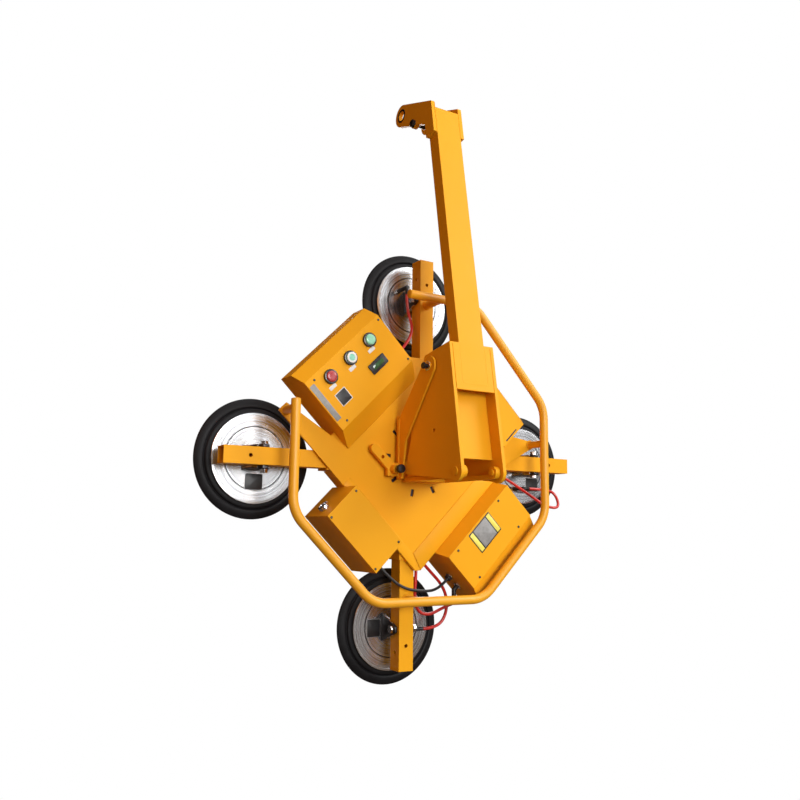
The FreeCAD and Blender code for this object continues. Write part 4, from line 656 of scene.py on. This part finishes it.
def cup_disc(cup):
    """Turned disc with a stepped rim, a line near its edge and a rubber ring in a groove."""
    rim = [(118.6, DISC_BACK), (120, 14.4), (120, 20.6), (118.8, 21.7)]
    line = [(113.6, DISC_FACE), (113.1, 20.9), (111.7, 20.9), (111.2, DISC_FACE)]
    groove = [(84.8, DISC_FACE), (84.4, RING_FLOOR), (82.4, RING_FLOOR), (82, DISC_FACE)]
    profile = [(DISC_BORE, DISC_BACK), *rim, *line, *groove, (DISC_BORE, DISC_FACE)]
    bm = bmesh.new()
    turn(bm, cup.centre, OUT, profile, CUP_SEGMENTS)
    disc = "disc_" + cup.name
    piece(disc, bm, TURNED, cup.body, ["cup_plate_" + cup.name], smooth=25.0, origin=cup.centre)
    ring = [(82.6, RING_FLOOR), (82.8, 20.9), (84, 20.9), (84.2, RING_FLOOR)]
    bm = bmesh.new()
    turn(bm, cup.centre, OUT, ring, CUP_SEGMENTS, closed=True)
    piece("disc_ring_" + cup.name, bm, RUBBER, cup.body, origin=cup.centre)


def cup_label(cup):
    """Bare label plate on the disc, a dark field on a pale edge."""
    across, along = LABELS[cup.name]
    layers = (
        ("edge", 2, DISC_FACE, DISC_FACE + 0.6, GREY),
        ("field", 0, DISC_FACE + 0.5, DISC_FACE + 1, PLASTIC),
    )
    for name, extra, low, high, look in layers:
        middle = cup.at(across, along, low)
        length = LABEL_LENGTH + extra
        width = LABEL_WIDTH + extra
        bm = bmesh.new()
        outline = oblong(middle, cup.across, cup.along, length, width, corner=2)
        slab(bm, outline, OUT * (high - low) * MM, rim=0.15)
        piece("label_" + name + "_" + cup.name, bm, look, cup.body)


def cup_lugs(cup):
    """Two lugs that straddle the arm, in a near-black metal that is painted shade."""
    right = [(LUG_FOOT, DISC_FACE), LUG_SHOULDER, LUG_TOP]
    left = [(-along, out) for along, out in reversed(right)]
    bm = bmesh.new()
    for start in LUG_STARTS:
        corners = [cup.at(start, along, out) for along, out in right + left]
        slab(bm, corners, cup.across * (LUG_THICK * MM), rim=1.2)
    piece("lugs_" + cup.name, bm, LUG_SHADE_LOOK, cup.body)


def lug_welds(cup):
    """Weld beads on both sides of each lug's foot."""
    bead_end = LUG_FOOT - 1
    bm = bmesh.new()
    for side in BOTH_SIDES:
        for edge in (LUG_INSIDE, LUG_OUTSIDE):
            start = cup.at(side * edge, -bead_end, DISC_FACE)
            end = cup.at(side * edge, bead_end, DISC_FACE)
            bead(bm, start, end, radius=1.6)
    piece("lug_welds_" + cup.name, bm, LUG_SHADE_LOOK, cup.body)


def paint_flank_highlights(cup):
    """Bright strips on the slanted flanks of the lugs: painted highlights."""
    shoulder, height = LUG_SHOULDER
    bm = bmesh.new()
    for start in LUG_STARTS:
        near = start + FLANK_MARGIN
        far = start + LUG_THICK - FLANK_MARGIN
        for side in BOTH_SIDES:
            foot = ((LUG_FOOT - 0.4) * side, DISC_FACE + 1)
            tip = ((shoulder + 0.4) * side, height - 0.6)
            corners = [cup.at(near, *foot), cup.at(far, *foot), cup.at(far, *tip), cup.at(near, *tip)]
            square = cup.along * side * FLANK_ALONG + OUT * FLANK_OUT
            slab(bm, corners, square * (FLANK_HEIGHT * MM), rim=0.15)
    piece("lug_highlight_strips_" + cup.name, bm, BRIGHT, cup.body)


def cup_port(cup):
    """Hose elbow: hexagon foot, post and barbed nipple."""
    across, along, turn_across, turn_along = PORTS[cup.name]
    heading = cup.across * turn_across + cup.along * turn_along
    foot = cup.at(across, along, DISC_FACE)
    bm = bmesh.new()
    turn(bm, foot, OUT, [(8.4, 0), (8.4, 7.2), (7.4, 8)], HEXAGON)
    piece("port_nut_" + cup.name, bm, BRIGHT, cup.body)
    bm = bmesh.new()
    turn(bm, foot, OUT, [(6.2, 8), (6.2, 58.5), (5.4, 60), (2, 60.4)], PORT_SEGMENTS)
    turn(bm, cup.at(across, along, NIPPLE_OUT), heading, [
        (5.4, 0), (5.4, 8), (4.2, 8.4), (5.2, 12), (4.2, 12.6), (5.2, 16), (4.2, 16.6), (5.0, 19.6),
        (3.2, 20), (3, 20),
    ], PORT_SEGMENTS)
    piece("port_" + cup.name, bm, PLASTIC, cup.body)


def cup_seal(cup):
    """Rubber bell: a narrow inner band, a groove, a wide outer band, a thin lip and ribs underneath."""
    inner_band = [(SEAL_BORE, SEAL_TOP), (121, SEAL_TOP), (126.4, 12.6), (130, 11.8), (132, 10.2)]
    groove = [(132.8, 7.2), (134.2, 6.6), (135.2, 8.2)]
    outer_band = [(137.2, 9.6), (141, 9.8), (146, 8.8), (151, 7), (155.4, 5), (158.4, 3.4)]
    lip = [(159.8, 2.2), (160, 1.2), (159.6, 0.3), (158, 0), (151, 0), (143, 1.3)]
    underside = [(142.2, 2.6), (140.6, 2.8), (139.8, 1.9), (126, 4), (120, 4), (114, SEAL_FLOOR)]
    for rib in RIB_RADII:
        underside += [
            (rib + 1.8, SEAL_FLOOR), (rib + 0.9, RIB_EDGE), (rib - 0.9, RIB_EDGE), (rib - 1.8, SEAL_FLOOR),
        ]
    underside.append((SEAL_BORE, SEAL_FLOOR))
    bm = bmesh.new()
    turn(bm, cup.centre, OUT, inner_band + groove + outer_band + lip + underside, CUP_SEGMENTS, closed=True)
    seal = "seal_" + cup.name
    piece(seal, bm, RUBBER, cup.body, ["cup_seal_" + cup.name], smooth=50.0, origin=cup.centre)


for cup in CUPS:
    cup_disc(cup)
    cup_lugs(cup)
    lug_welds(cup)
    paint_flank_highlights(cup)
    cup_seal(cup)
    if cup.name in LABELS:
        cup_label(cup)
    if cup.name in PORTS:
        cup_port(cup)


# Console: buttons, collars, display, tags.

BUTTON_ROW = 353
TAG_ROW = 329
TAG_SHIFT = -13
CONSOLE_OUT = 165
LABEL_PLACE = (-86, 290)
DISPLAY_PLACE = (56, 288)

# Name, place along the row and look of each button.
BUTTONS = (
    ("button_start", 80, MINT_DOME),
    ("button_lamp", 0, MINT_LENS),
    ("button_release", -80, RED_DOME),
)


def buttons():
    """Collars, domes and the pale ring of the lamp."""
    bm = bmesh.new()
    for name, along, look in BUTTONS:
        turn(bm, diamond(along, BUTTON_ROW, CONSOLE_OUT), OUT, [
            (20, 0), (20, 5.6), (19, 7.4), (17.6, 8), (15.4, 8), (15.3, 7), (15.3, 0),
        ], closed=True)
    piece("button_collars", bm, BEZEL, "frame", ["button_bezels"], smooth=30.0)
    for name, along, look in BUTTONS:
        bm = bmesh.new()
        turn(bm, diamond(along, BUTTON_ROW, CONSOLE_OUT + 3), OUT, [
            (9, -22), (9, 0), (14.9, 0), (14.9, 6.6), (14.2, 8.2), (12.4, 9.2), (8, 9.8), (2, 10),
        ], segments=64)
        piece(name + "_cap", bm, look, name, [name], smooth=40.0)
    bm = bmesh.new()
    turn(bm, diamond(0, BUTTON_ROW, CONSOLE_OUT + 11.4), OUT, [
        (14.5, 0), (14.5, 1.5), (13.4, 1.9), (9.2, 1.7), (9, 0.6), (9, 0),
    ], closed=True)
    piece("lamp_ring", bm, TAG, "button_lamp")


def console_plates():
    """Blank tags and labels, the housing's screws and the display."""
    tags = [diamond(along + TAG_SHIFT, TAG_ROW, CONSOLE_OUT) for name, along, look in BUTTONS]
    plates("button_tags", TAG, tags, length=24, width=10, corner=1.5, height=0.8, rim=0.2)
    strip = diamond(-138, 312, CONSOLE_OUT)
    plates("console_strip", GREY, [strip], length=17, width=116, corner=1.5, height=0.7, rim=0.2)
    edge = diamond(*LABEL_PLACE, CONSOLE_OUT)
    plates("console_label_edge", TAG, [edge], length=39, width=39, corner=2, height=0.6)
    field = diamond(*LABEL_PLACE, CONSOLE_OUT + 0.5)
    plates("console_label", PLASTIC, [field], length=35, width=35, corner=1.5, height=0.6)
    bm = bmesh.new()
    corner_screws(bm, (-122, 142), (238, 376), CONSOLE_OUT, radius=3.4, height=2)
    piece("console_screws", bm, BEZEL, "frame")
    case = diamond(*DISPLAY_PLACE, CONSOLE_OUT)
    plates("display_frame", PLASTIC, [case], length=62, width=30, corner=3, height=4, rim=0.8,
           replaces=["display"])
    screen = diamond(*DISPLAY_PLACE, CONSOLE_OUT + 3.8)
    plates("display_screen", LCD, [screen], length=40, width=13, corner=1, height=0.5)


buttons()
console_plates()


# Face plate and housings. The plate, the slots' floor and the lids are given by how far out they lie.

PLATE_OUT = 115
SLOT_COUNT = 9
SLOT_START = 219
SLOT_RING = 100
SLOT_FLOOR = 109.2
PUMP_LID = 168
PUMP_LABEL_ROW = -282
PUMP_LABEL_MIDDLE = -8
PUMP_BAND_SHIFT = 39.5
BATTERY_LID = 181
VALVE_LID = 155


def slot_shade_floors():
    """Black sheets at the floors of the ring of slots: painted shade inside the slots."""
    bm = bmesh.new()
    for number in range(SLOT_COUNT):
        angle = math.radians(SLOT_START + 360 / SLOT_COUNT * number)
        one = ACROSS * math.cos(angle) + RISE * math.sin(angle)
        two = RISE * math.cos(angle) - ACROSS * math.sin(angle)
        centre = hub(0, -SLOT_FLOOR, 0) + one * (SLOT_RING * MM)
        slab(bm, oblong(centre, one, two, length=19.8, width=9.8, corner=1), OUT * MM)
    piece("slot_shade_floors", bm, PLASTIC, "frame")


def edge_strips():
    """Raised strips along the two lower edges of the face plate."""
    strips = (
        ("edge_strip_left", ((-226, -212), (-199, -178), (-199, 108), (-226, 108))),
        ("edge_strip_right", ((-212, -226), (-197, -176), (190, -176), (222, -226))),
    )
    for name, shape in strips:
        bm = bmesh.new()
        slab(bm, [diamond(along, up, PLATE_OUT) for along, up in shape], OUT * (2 * MM), rim=0.7)
        piece(name, bm, PAINT, "frame")


def lid_screws():
    """Screws in the corners of the pump lid and the battery lid."""
    bm = bmesh.new()
    corner_screws(bm, (-110, 90), (-356, -252), PUMP_LID, radius=3.6, height=2.2)
    corner_screws(bm, (-334, -236), (-92, 92), BATTERY_LID, radius=3.4, height=2)
    piece("lid_screws", bm, BEZEL, "frame")


def lid_plates():
    """Blank label of the pump lid, and a black strip on the valve lid that is the painted shade of its
    slit.
    """
    edge = diamond(PUMP_LABEL_MIDDLE, PUMP_LABEL_ROW, PUMP_LID)
    plates("pump_label_edge", PLASTIC, [edge], length=98, width=68, corner=2, height=0.6)
    raised = PUMP_LID + 0.5
    field = diamond(PUMP_LABEL_MIDDLE, PUMP_LABEL_ROW, raised)
    plates("pump_label_field", GREY, [field], length=58, width=61, corner=1, height=0.6)
    bands = []
    for side in BOTH_SIDES:
        bands.append(diamond(PUMP_LABEL_MIDDLE + PUMP_BAND_SHIFT * side, PUMP_LABEL_ROW, raised))
    plates("pump_label_bands", CREAM, bands, length=14, width=61, corner=1, height=0.6)
    # Black strip: painted shade where the valve lid's slit looks dark.
    slot = diamond(272, -156, VALVE_LID)
    plates("valve_lid_slit_shade", PLASTIC, [slot], length=54, width=4.2, corner=1.4, height=0.4, rim=0.0)


def charging_socket():
    """Bright ring, dark core and two pins."""
    socket = diamond(-311, 102, 124)
    ring = [(15, 0), (15, 10), (14, 12), (10.5, 12), (10, 10.5), (10, 0)]
    bm = bmesh.new()
    turn(bm, socket, UP, ring, segments=40, closed=True)
    piece("socket_ring", bm, BRIGHT, "frame", ["charging_socket"])
    bm = bmesh.new()
    turn(bm, socket, UP, [(9.8, 0), (9.8, 5.6), (8.4, 6), (3, 6.2)], segments=32)
    for side in BOTH_SIDES:
        pin = socket + ALONG * (4 * MM * side)
        turn(bm, pin, UP, [(1.4, 6), (1.4, 9.6), (0.8, 10)], segments=12)
    piece("socket_core", bm, PLASTIC, "frame")


def gland_nuts():
    """Hexagon nuts where the hoses and the cable enter the housings."""
    nut = [(11.6, 0), (12.4, 0.8), (12.4, 5.4), (11.4, 6.2), (7.4, 6.3)]
    places = (
        (diamond(150, CONSOLE_ROW, CONSOLE_CORD_OUT), ALONG),
        (diamond(-146, PUMP_ROW, PUMP_CORD_OUT), -ALONG),
        (diamond(BATTERY_ROW, -102, BATTERY_CORD_OUT), -UP),
        (diamond(-146, ELBOW_ROW, PUMP_CORD_OUT), -ALONG),
    )
    bm = bmesh.new()
    for place, axis in places:
        turn(bm, place, axis, nut, HEXAGON)
    piece("gland_nuts", bm, BRIGHT, "frame")


slot_shade_floors()
edge_strips()
lid_screws()
lid_plates()
charging_socket()
gland_nuts()


# Knobs, washers and bolts of the turret and the boom.

EYE_FACE = 52
RETAINER_BACK = 99.5
RETAINER_SCREWS = 6
RETAINER_RING = 33
INDEX_ANGLE = math.radians(202)
STOP_BOLT = lean(0, -60, -66)


def index_knob():
    """Pull knob of the pin that locks the turning frame in one of its slots."""
    pin = hub(SLOT_RING * math.cos(INDEX_ANGLE), 0, SLOT_RING * math.sin(INDEX_ANGLE))
    bm = bmesh.new()
    turn(bm, pin, OUT, [
        (4.2, 118.2), (5, 119.6), (5, 167.6), (10.6, 167.6), (12, 169), (12, 178), (10.6, 180), (3, 181),
    ], segments=40)
    piece("index_knob", bm, BLACK_STEEL, "index_plunger", ["index_plunger"])


def latch_knob():
    """Pull knob of the tilt latch and the bright ring around its pin."""
    latch = hub(0, -283, 228)
    knob = [(5, 73), (6, 74), (6, 91.5), (8.2, 91.5), (9, 92.2), (9, 95), (8, 96), (2, 96)]
    ring = [(9.7, 80.8), (9.7, 81.9), (12, 82), (12.8, 81.4), (12.8, 80.8)]
    bm = bmesh.new()
    turn(bm, latch, -ACROSS, knob, segments=36)
    piece("latch_knob", bm, BLACK_STEEL, "latch_plunger", ["latch_plunger"])
    bm = bmesh.new()
    turn(bm, latch, -ACROSS, ring, segments=36, closed=True)
    piece("latch_ring", bm, BRIGHT, "turret")


def eye_washers():
    """Dark rings around the lifting eye, one on each plate."""
    washer = [(14.6, -0.2), (14.6, 0.9), (19.6, 0.9), (20.2, 0.4), (20.2, -0.2)]
    bm = bmesh.new()
    for side in BOTH_SIDES:
        turn(bm, ACROSS * (EYE_FACE * MM * side), ACROSS * side, washer, closed=True)
    piece("eye_washers", bm, BLACK_STEEL, "boom")


def retainer_screws():
    """Screws in the back of the bearing's retainer."""
    bm = bmesh.new()
    for number in range(RETAINER_SCREWS):
        angle = 2 * math.pi * number / RETAINER_SCREWS
        x = RETAINER_RING * math.cos(angle)
        z = RETAINER_RING * math.sin(angle)
        screw(bm, hub(x, -RETAINER_BACK, z), -OUT, radius=5.2, height=3.2)
    piece("retainer_screws", bm, BLACK_STEEL, "turret")


def stop_bolt():
    """Cross bolt under the eye plates, with a washer and a hexagon on each end."""
    bm = bmesh.new()
    turn(bm, STOP_BOLT, ACROSS, [(7, -EYE_FACE), (7, EYE_FACE)], segments=24)
    for side in BOTH_SIDES:
        turn(bm, STOP_BOLT, ACROSS * side, [(11, EYE_FACE), (11, 59.8), (9.6, 61), (7, 61)], HEXAGON)
        turn(bm, STOP_BOLT, ACROSS * side, [(10.9, 51.9), (10.9, 53), (7, 53.1)], segments=24)
    piece("stop_bolt", bm, BLACK_STEEL, "boom", ["head_stop_bolt"])


index_knob()
latch_knob()
eye_washers()
retainer_screws()
stop_bolt()


# Weld beads and the rail's plugs.

BOOM_FRONT = -155
BOOM_HALF = 40
HEAD_SEAM = 40.3
YOKE_HALF = 60
GUSSET_SEAM = 78
BASE_FRONT = 137.3
FINE_RIPPLE = 0.1
RAIL_OUT = 180

# Place of each post's foot: x, z and the height of the face that it stands on.
POST_FEET = ((-408, 102, PLATE_OUT), (408, 62, PLATE_OUT), (32, 451, 103.7), (-28, -389, 103.7))


def boom_welds():
    """Weld beads of the boom's head and of the yoke's front plate."""
    bm = bmesh.new()
    for side in BOTH_SIDES:
        wall = BOOM_HALF * side
        bead(bm, lean(wall, -153, -149.6), lean(wall, -117, -149.6), radius=2.2)
        cheek = YOKE_HALF * side
        bead(bm, lean(cheek, BOOM_FRONT, -790), lean(cheek, BOOM_FRONT, -911), 1.1, FINE_RIPPLE)
        seam = HEAD_SEAM * side
        bead(bm, lean(seam, BOOM_FRONT, -52), lean(seam, BOOM_FRONT, -148), 1.0, FINE_RIPPLE)
    bead(bm, lean(-59, -154.6, -912.4), lean(59, -154.6, -912.4), 1.2, FINE_RIPPLE)
    piece("boom_welds", bm, PAINT, "boom")


def turret_welds():
    """Weld beads between the turret's base plate and its gussets."""
    bm = bmesh.new()
    for side in BOTH_SIDES:
        x = GUSSET_SEAM * side
        bead(bm, hub(x, -BASE_FRONT, -60), hub(x, -BASE_FRONT, 102), radius=2.2)
    piece("turret_welds", bm, PAINT, "turret")


def post_welds():
    """Weld rings at the feet of the posts."""
    ring = [(10.8, 0), (14.4, 0), (13.4, 1.6), (11.6, 2.8), (10.8, 3)]
    bm = bmesh.new()
    for x, z, out in POST_FEET:
        turn(bm, hub(x, -out, z), OUT, ring, segments=40, closed=True)
    piece("post_welds", bm, PAINT, "frame")


def rail_plugs():
    """Rounded plugs in the rail's open ends."""
    plug = [(10.2, -9), (10.2, 0), (12.4, 0.2), (12.4, 1.4), (11, 3), (7, 3.8), (2, 4)]
    bm = bmesh.new()
    turn(bm, hub(-73, -RAIL_OUT, 451), -ACROSS, plug, segments=40)
    turn(bm, hub(-408, -RAIL_OUT, 122), RISE, plug, segments=40)
    piece("rail_plugs", bm, TUBE_PAINT, "frame")


boom_welds()
turret_welds()
post_welds()
rail_plugs()


# Stage, light and world. Lengths here are metres.

FLOOR_DROP = 0.9
FLOOR_REACH = 40
LIT_PLACE = hub(0, -100, 0)
WHITE = (1, 1, 1, 1)


def camera_switch(nodes, links, lit, seen):
    """Shader output that shows one shader to the camera and another to all other rays."""
    mix = nodes.new("ShaderNodeMixShader")
    path = nodes.new("ShaderNodeLightPath")
    links.new(path.outputs["Is Camera Ray"], mix.inputs["Fac"])
    links.new(lit, mix.inputs[1])
    links.new(seen, mix.inputs[2])
    return mix.outputs["Shader"]


def pale_floor():
    """Floor far below the part, white to the camera, that throws a dim warm light back."""
    mesh = bpy.data.meshes.new("floor")
    low = cad_box[0][2] - FLOOR_DROP
    bm = bmesh.new()
    for s, t in ((-1, -1), (1, -1), (1, 1), (-1, 1)):
        bm.verts.new((s * FLOOR_REACH, t * FLOOR_REACH, low))
    bm.faces.new(bm.verts)
    bm.to_mesh(mesh)
    bm.free()
    floor = bpy.data.objects.new("floor", mesh)
    scene.collection.objects.link(floor)
    material = bpy.data.materials.new("pale_floor")
    material.use_nodes = True
    nodes = material.node_tree.nodes
    links = material.node_tree.links
    shader = nodes["Principled BSDF"]
    shader.inputs["Base Color"].default_value = (0.13, 0.085, 0.055, 1)
    shader.inputs["Roughness"].default_value = 0.9
    glow = nodes.new("ShaderNodeEmission")
    glow.inputs["Color"].default_value = WHITE
    surface = camera_switch(nodes, links, shader.outputs["BSDF"], glow.outputs["Emission"])
    links.new(surface, nodes["Material Output"].inputs["Surface"])
    mesh.materials.append(material)


def area_light(name, offset, size, power, colour=(1, 1, 1), aim=(0, 0, 0)):
    """Round light; its place and its aim are given from the middle of the face plate."""
    data = bpy.data.lights.new(name, "AREA")
    data.shape = "DISK"
    data.size = size
    data.energy = power
    data.color = colour
    obj = bpy.data.objects.new(name, data)
    obj.location = LIT_PLACE + Vector(offset)
    obj.rotation_euler = (Vector(aim) - Vector(offset)).to_track_quat("-Z", "Y").to_euler()
    scene.collection.objects.link(obj)


def studio_world():
    """White to the camera, and to other rays a room with a pale side and a dark, warm one."""
    pale_side = (0.42, -0.42, 0.80)
    world = bpy.data.worlds.new("studio")
    scene.world = world
    world.use_nodes = True
    nodes = world.node_tree.nodes
    links = world.node_tree.links
    nodes.clear()
    backdrop = nodes.new("ShaderNodeBackground")
    backdrop.inputs["Color"].default_value = WHITE
    backdrop.inputs["Strength"].default_value = 1.0
    room = nodes.new("ShaderNodeBackground")
    room.inputs["Strength"].default_value = 0.36
    place = nodes.new("ShaderNodeTexCoord")
    facing = nodes.new("ShaderNodeVectorMath")
    facing.operation = "DOT_PRODUCT"
    facing.inputs[1].default_value = pale_side
    shades = nodes.new("ShaderNodeValToRGB")
    dark, pale = shades.color_ramp.elements
    dark.position = 0.05
    dark.color = (0.040, 0.018, 0.008, 1)
    pale.position = 0.9
    pale.color = WHITE
    links.new(place.outputs["Generated"], facing.inputs[0])
    links.new(facing.outputs["Value"], shades.inputs["Fac"])
    links.new(shades.outputs["Color"], room.inputs["Color"])
    surface = camera_switch(nodes, links, room.outputs["Background"], backdrop.outputs["Background"])
    output = nodes.new("ShaderNodeOutputWorld")
    links.new(surface, output.inputs["Surface"])


pale_floor()
area_light("key", (6.4, -5.2, 4.6), size=5.0, power=490)
area_light("front", (-0.3, -7.0, 0.9), size=3.4, power=308)
area_light("card", (3.4, -5.9, 0.7), size=2.2, power=24)
area_light("back", (3.6, 5.4, 2.4), size=4.0, power=230)
area_light("warm_side", (-5.0, -0.6, 3.2), size=3.0, power=34, colour=(1.0, 0.32, 0.14))
area_light("glow", (-1.7, -0.8, 0.7), size=0.9, power=3.2, colour=(1.0, 0.40, 0.12), aim=(0, 0, 0.05))
area_light("top", (0.9, -1.8, 6.0), size=3.4, power=85)
studio_world()

scene.view_settings.view_transform = "Standard"

bpy.context.view_layer.update()
